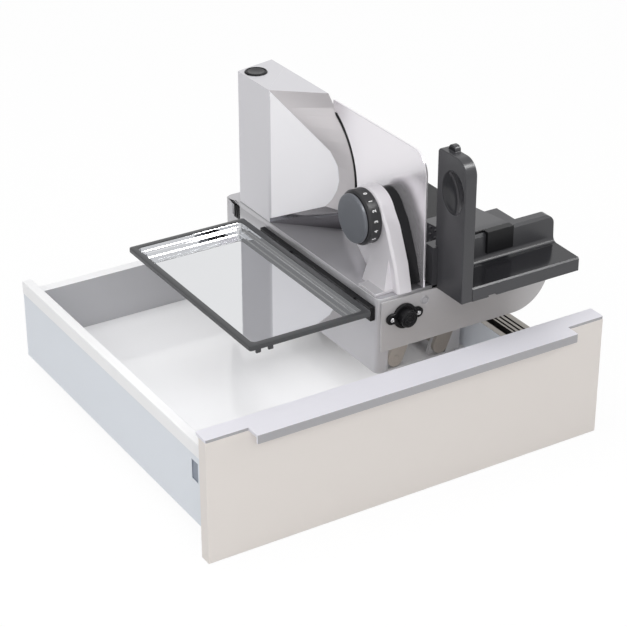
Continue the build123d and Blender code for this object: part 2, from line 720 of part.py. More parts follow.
def tower_section(z):
    """Outline of the tower at height z, with its round front left edge."""
    reach = max(sail_edge(z), SAIL_TOP)
    ease = min(FRONT_EDGE_R * tan(pi / 8), 0.8 * reach)
    slope = 1 / sqrt(2)
    bow = ease * tan(pi / 8) * cos(pi / 8)
    start = (TOWER_X0, TOWER_Y0 + ease)
    middle = (TOWER_X0 + bow * sin(pi / 8), TOWER_Y0 + bow * cos(pi / 8))
    end = (TOWER_X0 + ease * slope, TOWER_Y0 - ease * slope)
    corner = (TOWER_X0 + reach * slope, TOWER_Y0 - reach * slope)
    rest = Polyline(end, corner, (right_x(z), rim_y(z)), (right_x(z), TOWER_BACK_RIGHT),
                    (TOWER_X0, TOWER_BACK_LEFT), start)
    return Plane.XY.offset(z) * make_face(Curve() + [ThreePointArc(start, middle, end), rest])


def tower_hull():
    """Whole outside of the tower: sections from the deck to the top, joined by ruled faces."""
    low = [DECK_TOP, 246, SAIL_LOW[1], 274, 288, SAIL_NOSE[1], 324, SAIL_HIGH[1]]
    high = [LEAN_Z - drop for drop in (40, 24, 10, 0) if LEAN_Z - drop > SAIL_HIGH[1]]
    return loft([tower_section(z) for z in low + high + [TOWER_TOP]], ruled=True)


def sail_prism():
    """Everything behind the light front face."""
    face_plane = Plane(origin=(TOWER_X0 - 1, TOWER_Y0 - 1, 0), x_dir=(1, -1, 0), z_dir=(-1, -1, 0))
    outline = Curve() + [
        Polyline(SAIL_HIGH, (0, TOWER_TOP), (-100, TOWER_TOP + 5), (-100, DECK_TOP - 5),
                 (0, DECK_TOP - 5), (0, SAIL_FOOT), SAIL_LOW),
        ThreePointArc(SAIL_LOW, SAIL_NOSE, SAIL_HIGH),
    ]
    return extrude(face_plane * make_face(outline), amount=-300)


def tower_hollow():
    """Space for the drive inside the tower."""
    w = TOWER_WALL
    line = TOWER_X0 + TOWER_Y0 + w * sqrt(2) + 0.3
    x0, x1 = TOWER_X0 + w, GUARD_X1 - w - 1
    back = TOWER_BACK_LEFT - w
    low = prism_z([(x0, line - x0), (x1, line - x1), (x1, back), (x0, back)], DECK_TOP + w, LEAN_Z - HOLLOW_DROP)
    x2 = x1 - LEAN_IN
    high = prism_z([(x0, line - x0), (x2, line - x0 - 38), (x2, back), (x0, back)],
                   LEAN_Z - HOLLOW_DROP, TOWER_TOP - w)
    return low + high


def tower_shells():
    """Motor housing with the light face, the guard round it and the wedge under it."""
    hull = tower_hull() - tower_hollow()
    hull -= rod_z(BUTTON_R + GAP, TOWER_TOP - 10, TOWER_TOP + 1, BUTTON_X, BUTTON_Y)
    hull -= rod_x(SHAFT_R + 1, GUARD_X1 - 10, GUARD_X1 + 1, BLADE_Y, BLADE_Z)
    sail = sail_prism()
    low = block(TOWER_X0 - 1, GUARD_X1 + 1, STOP_FRONT_Y, TOWER_BACK_RIGHT + 1, DECK_TOP - 1,
                SAIL_LOW[1])
    rest = hull - sail
    return hull & sail, rest - low, rest & low


def power_bezel():
    """Ring round the power button."""
    ring = rod_z(BUTTON_R + BEZEL_W, TOWER_TOP, TOWER_TOP + BEZEL_H, BUTTON_X, BUTTON_Y)
    ring = chamfer(ring.edges().sort_by(Axis.Z)[-1:], 0.7)
    return ring - rod_z(BUTTON_R + GAP, TOWER_TOP - 1, TOWER_TOP + 3, BUTTON_X, BUTTON_Y)


def power_button():
    """Round power button in the top of the tower."""
    top = TOWER_TOP + BUTTON_OUT
    body = rod_z(BUTTON_R, top - BUTTON_H, top, BUTTON_X, BUTTON_Y)
    return chamfer(body.edges().sort_by(Axis.Z)[-1:], 0.8)


def power_switch():
    """Switch under the power button, on the wall of the tower."""
    x0 = TOWER_X0 + TOWER_WALL
    top = TOWER_TOP + BUTTON_OUT - BUTTON_H - 4
    body = block(x0, x0 + SWITCH_SIZE, BUTTON_Y - 10, BUTTON_Y + 10, top - SWITCH_SIZE, top)
    return body + rod_z(4, top, top + 0.7, BUTTON_X, BUTTON_Y)


def gear_outline(y, z, teeth, turn):
    """Closed (y, z) outline of a gear; the flanks are straight between root and tip."""
    pitch = MODULE * teeth / 2
    radii = (pitch - 1.35 * MODULE, pitch + 0.95 * MODULE)
    shares = (0.36, 0.10)
    steps = list(zip(radii, (-s for s in shares))) + list(zip(reversed(radii), reversed(shares)))
    points = []
    for k in range(teeth):
        for r, share in steps:
            a = (k + share) * 2 * pi / teeth + turn
            points.append((y + r * cos(a), z + r * sin(a)))
    return points


def drive_gear():
    """Large gear on the blade shaft."""
    body = prism_x(gear_outline(BLADE_Y, BLADE_Z, GEAR_TEETH, 0), GEAR_X, GEAR_X + GEAR_W)
    return body - rod_x(SHAFT_R, GEAR_X - 1, GEAR_X + GEAR_W + 1, BLADE_Y, BLADE_Z)


def motor_pinion():
    """Pinion and its shaft, turned by the motor."""
    outline = gear_outline(MOTOR_Y, BLADE_Z, PINION_TEETH, pi / PINION_TEETH)
    body = prism_x(outline, GEAR_X, GEAR_X + GEAR_W)
    x0 = TOWER_X0 + TOWER_WALL + 4
    return body + rod_x(MOTOR_SHAFT_R, x0, GEAR_X + GEAR_W + FRAME_T, MOTOR_Y, BLADE_Z)


def gearbox_frame():
    """Two plates on square pillars, with the bearings of the pinion and the blade shaft."""
    left = GEAR_X - 2 - FRAME_T
    right = GEAR_X + GEAR_W + 2
    y0, y1 = BLADE_Y - 4, MOTOR_Y + 26
    z0, z1 = BLADE_Z - 38, BLADE_Z + 38
    wall = GUARD_X1 - TOWER_WALL - 1
    body = block(left, left + FRAME_T, BLADE_Y - 12, y1, z0, z1)
    body += block(right, right + FRAME_T, BLADE_Y - 22, y1, z0, z1)
    for y in (y0 + 5, y1 - 5):
        for z in (z0 + 5, z1 - 5):
            body += block(left, wall, y - 3.5, y + 3.5, z - 3.5, z + 3.5)
    for x in (left, right):
        body -= rod_x(SHAFT_R + SHAFT_PLAY, x - 1, x + FRAME_T + 1, BLADE_Y, BLADE_Z)
        body -= rod_x(MOTOR_SHAFT_R + SHAFT_PLAY, x - 1, x + FRAME_T + 1, MOTOR_Y, BLADE_Z)
    return body


def motor():
    """Motor can bolted to the left plate, with a bore for its shaft."""
    x1 = GEAR_X - 2 - FRAME_T
    x0 = x1 - MOTOR_LEN
    body = rod_x(MOTOR_R, x0, x1, MOTOR_Y, BLADE_Z)
    body = chamfer(body.edges().sort_by(Axis.X)[:1], 1.5)
    return body - rod_x(MOTOR_SHAFT_R + SHAFT_PLAY, x0 - 1, x1 + 1, MOTOR_Y, BLADE_Z)


def blade_shaft():
    """Shaft from the gearbox to the blade, with the blade's seat at its end."""
    body = rod_x(SHAFT_R, GEAR_X - 2 - FRAME_T - 1, BLADE_X0, BLADE_Y, BLADE_Z)
    return body + rod_x(4, BLADE_X0, CUT_X + 1, BLADE_Y, BLADE_Z)


def blade():
    """Round blade, ground on the food side only."""
    x0, x1 = BLADE_X0, CUT_X
    outline = [(x0, 4.0), (x0, BLADE_R - 2.0), (x1 - BLADE_EDGE, BLADE_R), (x1, BLADE_R),
               (x1, BLADE_R - 1.0), (x1 - 1.2, BLADE_R - BEVEL_W), (x1 - 1.2, HUB_R + 3),
               (x1, HUB_R), (x1, 4.0)]
    face = make_face(Polyline(*[(x, r) for x, r in outline], close=True))
    disc = revolve(face, Axis.X)
    return Pos(0, BLADE_Y, BLADE_Z) * disc


def blade_lock():
    """Quarter turn cap that holds the blade, with a grip bar."""
    body = rod_x(LOCK_R, CUT_X, CUT_X + LOCK_T - 4, BLADE_Y, BLADE_Z)
    body = chamfer(body.edges().sort_by(Axis.X)[-1:], 1.2)
    bar = block(CUT_X + 1, CUT_X + LOCK_T, BLADE_Y - 3, BLADE_Y + 3, BLADE_Z - 16, BLADE_Z + 16)
    body += chamfer(bar.edges().filter_by(Axis.X), 1.5)
    return body - rod_x(4, CUT_X - 1, CUT_X + 1, BLADE_Y, BLADE_Z)


# Stop plate and dial
def stop_plate():
    """Flat plate that the food lies against, cut out round the blade."""
    low = DECK_TOP + 0.5
    half_low = sqrt(CUTOUT_R ** 2 - (BLADE_Z - low) ** 2)
    arc_top = BLADE_Z + sqrt(CUTOUT_R ** 2 - (BLADE_Y - STOP_BACK_Y) ** 2)
    r = STOP_CORNER_R
    outline = Curve() + [
        Polyline((BLADE_Y - half_low, low), (STOP_FRONT_Y, low), (STOP_FRONT_Y, STOP_TOP - r)),
        RadiusArc((STOP_FRONT_Y, STOP_TOP - r), (STOP_FRONT_Y + r, STOP_TOP), r),
        Polyline((STOP_FRONT_Y + r, STOP_TOP), (STOP_BACK_Y, STOP_TOP), (STOP_BACK_Y, arc_top)),
        ThreePointArc((STOP_BACK_Y, arc_top), (BLADE_Y - CUTOUT_R, BLADE_Z),
                      (BLADE_Y - half_low, low)),
    ]
    return prism_x(outline, STOP_X0, STOP_X1)


def cast_outline(inset):
    """Outline of the dial arm's casting, drawn in by `inset`."""
    front = [(y + inset, z) for y, z in CAST_FRONT]
    back = [(y - inset, z) for y, z in CAST_BACK]
    foot = DECK_TOP if inset == 0 else DECK_TOP + inset
    front[0] = (front[0][0], foot)
    back[-1] = (back[-1][0], foot)
    r = CAST_TOP_R - inset
    start = (KNOB_Y - r * cos(radians(25)), KNOB_Z + r * sin(radians(25)))
    end = (KNOB_Y + r, KNOB_Z - 8)
    return Curve() + [
        Polyline(end, *back, *front, start),
        ThreePointArc(start, (KNOB_Y, KNOB_Z + r), end),
    ]


def knob_arm():
    """Hollow casting that stands on the deck and carries the dial."""
    body = prism_x(cast_outline(0), ARM_CAST_X0, ARM_CAST_X1)
    body = chamfer(body.faces().sort_by(Axis.X)[0].edges().sort_by(Axis.Z)[1:], CAST_EASE)
    pocket = prism_x(cast_outline(CAST_WALL), ARM_CAST_X0 + CAST_WALL, ARM_CAST_X1 + 1)
    flare = prism_y([(ARM_CAST_X0 + 1, FLARE_TOP), (FLARE_X0, DECK_TOP), (ARM_CAST_X0 + 1, DECK_TOP)],
                    *FLARE_Y)
    (y0, y1), high = FLARE_Y, FLARE_TOP - DECK_TOP
    flare &= prism_x([(y0, DECK_TOP), (y1, DECK_TOP), (y1 + 0.9 * high, FLARE_TOP),
                      (y0 + 0.3 * high, FLARE_TOP)], FOOT_X0, ARM_CAST_X0 + 2)
    foot = block(FOOT_X0, ARM_CAST_X0 + 1, *FOOT_Y, DECK_TOP, DECK_TOP + FOOT_H)
    body = body + flare + foot - pocket
    return body - rod_x(SPINDLE_R + SHAFT_PLAY, ARM_CAST_X0 - 1, ARM_CAST_X1 + 1, KNOB_Y, KNOB_Z)


def stop_carrier():
    """Black slide behind the stop plate that dips into the casting."""
    body = prism_x(cast_outline(CAST_WALL + 1.2), ARM_CAST_X1 + 2, STOP_X0)
    return body - rod_x(SPINDLE_R + 2 * SHAFT_PLAY, ARM_CAST_X1, STOP_X0 + 1, KNOB_Y, KNOB_Z)


def dial_knob():
    """Round knob turned from one profile: domed face, groove and ring for the numbers."""
    back = ARM_CAST_X0 - GAP
    front = back - KNOB_T
    ring = back - KNOB_RIM_W
    outline = [(front, 0), (front, KNOB_FACE_R - 3), (front + 1, KNOB_FACE_R - 1),
               (front + 3, KNOB_FACE_R), (ring - KNOB_GROOVE, KNOB_FACE_R),
               (ring - KNOB_GROOVE, KNOB_FACE_R - 1.5), (ring, KNOB_FACE_R - 1.5),
               (ring, KNOB_R - 0.8), (ring + 0.8, KNOB_R), (back, KNOB_R), (back, 0)]
    return Pos(0, KNOB_Y, KNOB_Z) * revolve(make_face(Polyline(*outline, close=True)), Axis.X)


def dial_spindle():
    """Threaded spindle between the knob and the slide."""
    return rod_x(SPINDLE_R, ARM_CAST_X0 - GAP, STOP_X0 - STOP_TRAVEL + STOP_OPEN - 1, KNOB_Y, KNOB_Z)


# Carriage
def carriage_table():
    """Hand shelf, pushing ridge and food table in one moulding, on its guide block."""
    shelf_x0 = GUARD_PLATE_X0 + GUARD_PLATE_T
    ridge_y1 = RIDGE_Y0 + RIDGE_T
    low = CAR_Z0
    bend = RIDGE_Y0 - SHELF_BACK
    section = Curve() + [
        Polyline((SHELF_BACK, LIP_TOP + 1), (CAR_FRONT + 2, LIP_TOP), (CAR_FRONT, LIP_TOP - 2),
                 (CAR_FRONT, low), (ridge_y1, low), (ridge_y1, RIDGE_TOP - 3),
                 (ridge_y1 - 3, RIDGE_TOP), (RIDGE_Y0 + 4, RIDGE_TOP), (RIDGE_Y0 + 1, RIDGE_TOP - 4),
                 (RIDGE_Y0, LIP_TOP + 1 + bend)),
        RadiusArc((RIDGE_Y0, LIP_TOP + 1 + bend), (SHELF_BACK, LIP_TOP + 1), bend),
    ]
    body = prism_x(section, shelf_x0, CAR_X1)
    r = RIDGE_END_R
    corner = block(CAR_X1 - r, CAR_X1 + 1, RIDGE_Y0 - 1, ridge_y1 + 1, RIDGE_TOP - r, RIDGE_TOP + 1)
    body -= corner - rod_y(r, RIDGE_Y0 - 2, ridge_y1 + 2, CAR_X1 - r, RIDGE_TOP - r)
    body += block(CAR_X0, shelf_x0, RIDGE_Y0, ridge_y1, DECK_TOP + 3, RIDGE_TOP)
    body += block(CAR_X0, CAR_X1 - 8, ridge_y1, FOOD_BACK, FOOD_TOP - FOOD_T, FOOD_TOP)
    mid = RAIL_X + GUIDE_W / 2
    half = GUIDE_BLOCK_W / 2
    body += block(mid - half, mid + half, ridge_y1, FOOD_BACK - 10, low, FOOD_TOP - FOOD_T)
    groove = GUIDE_W / 2 + GAP
    body -= block(mid - groove, mid + groove, CAR_FRONT - 1, FOOD_BACK, low - 1,
                  TABLE_TOP + GUIDE_H + GAP)
    return body


def hand_guard():
    """Tall plate that keeps the hand from the blade, with a thumb hollow."""
    x0, x1 = GUARD_PLATE_X0, GUARD_PLATE_X0 + GUARD_PLATE_T
    r = GUARD_CORNER_R
    outline = Curve() + [
        Polyline((CAR_FRONT + r, GUARD_TOP), (GUARD_BACK - 3, GUARD_TOP),
                 (GUARD_BACK, GUARD_TOP - 3), (GUARD_BACK, RIDGE_TOP),
                 (RIDGE_Y0, RIDGE_TOP), (RIDGE_Y0, CAR_Z0), (CAR_FRONT, CAR_Z0),
                 (CAR_FRONT, GUARD_TOP - r)),
        RadiusArc((CAR_FRONT, GUARD_TOP - r), (CAR_FRONT + r, GUARD_TOP), r),
    ]
    body = prism_x(outline, x0, x1)
    hollow = Pos(x0 - HOLLOW_SIZE[0] + HOLLOW_D, HOLLOW_Y, HOLLOW_Z) * scale(Sphere(1), by=HOLLOW_SIZE)
    lug = block(x1 - LUG_W, x1, *LUG_Y, GUARD_TOP - 6, LUG_TOP)
    lug = fillet(lug.edges().filter_by(Axis.X).sort_by(Axis.Z)[-2:], 6.0)
    return body - hollow + lug


def food_holder():
    """Sliding holder that rides on the ridge, with teeth towards the blade."""
    y0 = RIDGE_Y0 + RIDGE_T + GAP
    low = FOOD_TOP + GAP + 0.5
    w = HOLDER_WALL
    back_top = HOLDER_TOP - HOLDER_FALL
    body = prism_x([(y0, low), (HOLDER_BACK, low), (HOLDER_BACK, back_top), (y0, HOLDER_TOP),
                    (HOLDER_LIP_Y, HOLDER_TOP), (HOLDER_LIP_Y, RIDGE_TOP + GAP),
                    (y0, RIDGE_TOP + GAP)], HOLDER_X0, HOLDER_X1)
    body -= block(HOLDER_X0 + w, HOLDER_X1 - w, y0 + w, HOLDER_BACK - w, low - 1, back_top - w)
    for row in range(3):
        for column in range(5):
            y = y0 + 8 + column * 12
            z = low + 8 + row * 10
            body += Pos(HOLDER_X0, y, z) * Rot(0, -90, 0) * extrude(Rectangle(4, 4), 3, taper=28)
    return body


def holder_hook():
    """Black flap of the holder that hooks over the top and the front of the ridge."""
    y1 = RIDGE_Y0 - GAP
    flap = block(HOOK_X0, HOOK_X1, y1 - HOOK_T, y1, HOLDER_TOP - HOOK_DROP, HOLDER_TOP)
    flap += block(HOOK_X0, HOOK_X1, y1, HOLDER_LIP_Y, RIDGE_TOP + GAP, HOLDER_TOP)
    strip = block(HOLDER_X0, HOOK_X0, HOLDER_LIP_Y - 2, HOLDER_LIP_Y, RIDGE_TOP + GAP, HOLDER_TOP)
    return flap + strip


# Tray
def tray_slab(inset, z0, z1, radius):
    """Rounded slab inside the tray's outline."""
    slab = block(TRAY_X0 + inset, TRAY_X0 + TRAY_W - inset, TRAY_Y0 + inset,
                 TRAY_Y0 + TRAY_LEN - inset, z0, z1)
    return fillet(slab.edges().filter_by(Axis.Z), radius)


def tray_pan():
    """Polished steel tray with a step between its wall and its bottom."""
    low = TRAY_TOP - TRAY_DEPTH
    step = low + TRAY_STEP_Z
    t = TRAY_SHEET
    wall = RIM_W - 1
    outer = tray_slab(wall, step, TRAY_TOP - 1, TRAY_R - wall)
    outer += tray_slab(wall + TRAY_STEP, low, step, TRAY_R - wall)
    inner = tray_slab(wall + t, step + t, TRAY_TOP + 1, TRAY_R - wall - t)
    inner += tray_slab(wall + TRAY_STEP + t, low + t, step + t, TRAY_R - wall - t)
    return outer - inner


def tray_rim():
    """Dark frame round the edge of the tray, with two small tabs at its front corner."""
    frame = tray_slab(0, TRAY_TOP - RIM_H, TRAY_TOP, TRAY_R)
    frame = chamfer(frame.faces().sort_by(Axis.Z)[-1].edges(), 1.0)
    frame -= tray_slab(RIM_W - 1, TRAY_TOP - RIM_H - 1, TRAY_TOP + 1, TRAY_R - RIM_W + 1)
    for x in (TRAY_X0 + TRAY_R, TRAY_X0 + TRAY_R + 2.5 * TAB_W):
        frame += block(x, x + TAB_W, TRAY_Y0, TRAY_Y0 + 3, TRAY_TOP - RIM_H - 4, TRAY_TOP - RIM_H)
    return frame


def build_drawer():
    """Runners, drawer box and floor mount."""
    runner(RUNNER_INSET, "left")
    runner(mirrored_x(RUNNER_INSET), "right")
    write("drawer_front", drawer_front())
    write("handle_profile", handle_profile())
    write("side_left", side_left())
    write("side_right", side_right())
    write("front_brackets", *front_brackets())
    write("drawer_floor", drawer_floor())
    write("back_wall", back_wall())
    write_slicer("floor_mount", floor_mount())
    write_slicer("mount_screws", *mount_screws())
    write_slicer("lower_shafts", *lower_shafts())
    write_slicer("arm_stop", arm_stop())


def build_arms():
    """Both pairs of swing arms."""
    for side, x in zip(("left", "right"), pivot_xs()):
        write_slicer(f"{side}_arm_front", arm_bar(x, ARM_FRONT_Y))
        write_slicer(f"{side}_arm_rear", arm_bar(x, ARM_REAR_Y))
        write_slicer(f"{side}_cross_shaft", cross_shaft(x))


def build_base():
    """Frame of the slicer."""
    write_slicer("base_shell", base_shell())
    write_slicer("front_plate", front_plate())
    write_slicer("rear_plate", end_plate(SHELL_Y1))
    write_slicer("table_deck", table_deck())
    write_slicer("carriage_rail", carriage_rail())
    write_slicer("swing_brackets", *swing_brackets())
    write_slicer("release_flange", release_flange())
    write_slicer("release_button", release_button())
    write_slicer("release_screws", *release_screws())
    write_slicer("plug_ring", plug_ring())
    write_slicer("tray_rail", tray_rail())


def build_tower():
    """Tower, drive and blade."""
    housing, guard, wedge = tower_shells()
    write_slicer("motor_housing", housing)
    write_slicer("blade_guard", guard)
    write_slicer("slice_deflector", wedge)
    write_slicer("power_bezel", power_bezel())
    write_slicer("power_button", power_button())
    write_slicer("power_switch", power_switch())
    write_slicer("gearbox_frame", gearbox_frame())
    write_slicer("motor", motor())
    write_slicer("motor_pinion", motor_pinion())
    write_slicer("drive_gear", drive_gear())
    write_slicer("blade_shaft", blade_shaft())
    write_slicer("blade", blade())
    write_slicer("blade_lock", blade_lock())


def build_cutting():
    """Stop plate, dial, carriage and tray."""
    write_slicer("stop_plate", stop_plate())
    write_slicer("stop_carrier", stop_carrier())
    write_slicer("knob_arm", knob_arm())
    write_slicer("dial_knob", dial_knob())
    write_slicer("dial_spindle", dial_spindle())
    write_slicer("carriage_table", carriage_table())
    write_slicer("hand_guard", hand_guard())
    write_slicer("food_holder", food_holder())
    write_slicer("holder_hook", holder_hook())
    write_slicer("tray_pan", tray_pan())
    write_slicer("tray_rim", tray_rim())


build_drawer()
build_arms()
build_base()
build_tower()
build_cutting()
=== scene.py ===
"""Looks of the kitchen drawer that carries a fold-down food slicer."""

from __future__ import annotations

import json
import logging
import math
from collections.abc import Callable, Iterable, Sequence
from dataclasses import dataclass
from enum import Enum

import bmesh
import bpy
from mathutils import Matrix, Vector

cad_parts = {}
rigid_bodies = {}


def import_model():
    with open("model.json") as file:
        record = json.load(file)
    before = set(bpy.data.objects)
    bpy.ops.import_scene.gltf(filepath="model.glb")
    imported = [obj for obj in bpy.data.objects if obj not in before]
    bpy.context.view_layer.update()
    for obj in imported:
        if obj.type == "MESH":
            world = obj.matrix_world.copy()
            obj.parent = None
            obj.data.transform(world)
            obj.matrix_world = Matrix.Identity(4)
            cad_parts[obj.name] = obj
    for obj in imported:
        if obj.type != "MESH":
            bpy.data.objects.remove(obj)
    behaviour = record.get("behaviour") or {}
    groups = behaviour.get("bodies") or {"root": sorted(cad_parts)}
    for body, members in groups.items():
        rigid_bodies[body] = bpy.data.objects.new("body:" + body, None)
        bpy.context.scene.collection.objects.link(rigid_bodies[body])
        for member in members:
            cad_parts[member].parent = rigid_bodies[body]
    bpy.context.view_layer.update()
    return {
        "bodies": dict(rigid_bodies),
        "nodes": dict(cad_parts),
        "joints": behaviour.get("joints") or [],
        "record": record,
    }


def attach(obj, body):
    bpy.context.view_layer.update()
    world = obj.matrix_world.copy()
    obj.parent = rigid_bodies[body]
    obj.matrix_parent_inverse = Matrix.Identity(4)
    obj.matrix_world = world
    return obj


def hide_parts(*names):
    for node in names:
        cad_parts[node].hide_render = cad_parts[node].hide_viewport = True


Triple = tuple[float, float, float]
Pair = tuple[float, float]
Chosen = Callable[[Vector, Vector], bool]

LOG = logging.getLogger("slicer_drawer")
GRAIN = "surface_grain"
WHITE = (1.0, 1.0, 1.0, 1.0)
ORIGIN = (0.0, 0.0, 0.0)

# The model's origin, in millimetres right of, behind and above the front's lower left corner
SHIFT = Vector((298.5, 270.5, 0.0))

# Sockets of a Mix node that is set to colours
FACTOR, COLOR_A, COLOR_B, COLOR_OUT = 0, 6, 7, 2

# How much of a face's normal points one way, for the face to count as turned that way
STRAIGHT, NEARLY, MOSTLY, PARTLY = 0.9, 0.85, 0.7, 0.5

# Vertices closer than this, in metres, are one
SAME = 2e-6

# Faces that turn by less than this, in degrees, are one
FLAT = 0.6

# Edges that turn by more than this, in degrees, stay sharp or are rounded
SHARP = 32.0


def place(x: float, y: float, z: float) -> Vector:
    """Turn a place on the drawer into a place in the model.

    Args:
        x: Millimetres right of the front's left edge.
        y: Millimetres behind the front's outer face.
        z: Millimetres above the front's lower edge.

    Returns:
        The same place in metres, from the model's origin.
    """
    return (Vector((x, y, z)) - SHIFT) / 1000.0


def millimetres(where: Vector) -> Vector:
    """Turn a place in the model back into millimetres on the drawer.

    Args:
        where: A place in metres, from the model's origin.

    Returns:
        The place as the drawer's own sizes state it.
    """
    return where * 1000.0 + SHIFT


def linear(code: str) -> tuple[float, float, float, float]:
    """Turn a screen colour into a scene colour.

    Args:
        code: Six hexadecimal digits.

    Returns:
        Red, green, blue and alpha in scene values.
    """
    channels = [int(code[i : i + 2], 16) / 255.0 for i in (0, 2, 4)]

    # The curve of the sRGB standard
    r, g, b = (c / 12.92 if c <= 0.04045 else ((c + 0.055) / 1.055) ** 2.4 for c in channels)
    return (r, g, b, 1.0)


class Axis(Enum):
    """A direction on the drawer."""

    RIGHT = (1.0, 0.0, 0.0)
    BACK = (0.0, 1.0, 0.0)
    UP = (0.0, 0.0, 1.0)


class Tree:
    """A node tree under construction."""

    def __init__(self, tree: bpy.types.NodeTree) -> None:
        """Keep the tree that the nodes go into."""
        self.tree = tree

    def add(
        self, kind: str, inputs: dict[str | int, object] | None = None, **settings: object
    ) -> bpy.types.Node:
        """Add one node.

        Args:
            kind: The node's type.
            inputs: Socket names or numbers with a value, or a socket to link from.
            settings: Attributes of the node itself.

        Returns:
            The new node.
        """
        node = self.tree.nodes.new(kind)
        for name, value in settings.items():
            setattr(node, name, value)
        for key, value in (inputs or {}).items():
            if isinstance(value, bpy.types.NodeSocket):
                self.tree.links.new(value, node.inputs[key])
            else:
                node.inputs[key].default_value = value
        return node

    def math(self, operation: str, *values: object, clamp: bool = False) -> bpy.types.NodeSocket:
        """Add one calculation.

        Args:
            operation: Its kind.
            values: Numbers or sockets that go in.
            clamp: Whether the result stays between 0 and 1.

        Returns:
            The result's socket.
        """
        inputs = dict(enumerate(values))
        return self.add("ShaderNodeMath", inputs, operation=operation, use_clamp=clamp).outputs[0]


def grain_group() -> bpy.types.ShaderNodeTree:
    """Make the group that gives a surface its fine relief and its slight unevenness.

    Returns:
        A group with Scale, Stretch, Depth and Spread sockets, and Shade and Normal outputs.
    """
    group = bpy.data.node_groups.new(GRAIN, "ShaderNodeTree")
    for name, kind, value in (
        ("Scale", "NodeSocketFloat", 300.0),
        ("Stretch", "NodeSocketVector", (1.0, 1.0, 1.0)),
        ("Depth", "NodeSocketFloat", 0.1),
        ("Spread", "NodeSocketFloat", 0.05),
    ):
        socket = group.interface.new_socket(name=name, in_out="INPUT", socket_type=kind)
        socket.default_value = value
    group.interface.new_socket(name="Shade", in_out="OUTPUT", socket_type="NodeSocketFloat")
    group.interface.new_socket(name="Normal", in_out="OUTPUT", socket_type="NodeSocketVector")
    tree = Tree(group)
    start = tree.add("NodeGroupInput")
    coords = tree.add("ShaderNodeTexCoord").outputs["Object"]
    stretched = tree.add(
        "ShaderNodeVectorMath", {0: coords, 1: start.outputs["Stretch"]}, operation="MULTIPLY"
    )
    fine = tree.add(
        "ShaderNodeTexNoise",
        {"Vector": stretched.outputs[0], "Scale": start.outputs["Scale"], "Detail": 3.0, "Roughness": 0.6},
    )
    broad = tree.add("ShaderNodeTexNoise", {"Vector": coords, "Scale": 9.0, "Detail": 2.0})
    mixed = tree.math("ADD", fine.outputs["Fac"], broad.outputs["Fac"])
    centred = tree.math("SUBTRACT", mixed, 1.0)
    spread = tree.math("MULTIPLY_ADD", centred, start.outputs["Spread"], 1.0)
    bump = tree.add(
        "ShaderNodeBump",
        {"Strength": start.outputs["Depth"], "Distance": 0.0002, "Height": fine.outputs["Fac"]},
    )
    tree.add("NodeGroupOutput", {"Shade": spread, "Normal": bump.outputs["Normal"]})
    return group


@dataclass(frozen=True)
class Finish:
    """One finish: a colour, its gloss and its grain."""

    name: str
    color: str
    roughness: float
    metallic: float = 0.0
    scale: float = 900.0
    stretch: Triple = (1.0, 1.0, 1.0)
    depth: float = 0.05
    spread: float = 0.05
    gloss_spread: float = 0.06
    coat: float = 0.0
    coat_roughness: float = 0.1
    specular: float = 0.5

    def material(self) -> bpy.types.Material:
        """Make the finish, or find it if it is made already.

        Returns:
            The finish's material.
        """
        found = bpy.data.materials.get(self.name)
        if found is not None:
            return found
        made = bpy.data.materials.new(self.name)
        made.use_nodes = True
        made.diffuse_color = linear(self.color)
        tree = Tree(made.node_tree)
        shader = made.node_tree.nodes["Principled BSDF"]
        grain = self._grain(tree)
        shade = grain.outputs["Shade"]
        tint = tree.add(
            "ShaderNodeMix",
            {COLOR_A: linear(self.color), COLOR_B: shade, FACTOR: 1.0},
            data_type="RGBA",
            blend_type="MULTIPLY",
        )
        share = self.gloss_spread / self.spread
        gloss = tree.math("MULTIPLY_ADD", shade, share, self.roughness - share, clamp=True)
        links = made.node_tree.links
        links.new(tint.outputs[COLOR_OUT], shader.inputs["Base Color"])
        links.new(gloss, shader.inputs["Roughness"])
        links.new(grain.outputs["Normal"], shader.inputs["Normal"])
        shader.inputs["Metallic"].default_value = self.metallic
        shader.inputs["Coat Weight"].default_value = self.coat
        shader.inputs["Coat Roughness"].default_value = self.coat_roughness
        shader.inputs["Specular IOR Level"].default_value = self.specular
        return made

    def _grain(self, tree: Tree) -> bpy.types.Node:
        """Add the grain group with this finish's numbers.

        Args:
            tree: The material's tree.

        Returns:
            The group's node.
        """
        group = bpy.data.node_groups.get(GRAIN) or grain_group()
        inputs = {"Scale": self.scale, "Stretch": self.stretch, "Depth": self.depth, "Spread": self.spread}
        return tree.add("ShaderNodeGroup", inputs, node_tree=group)


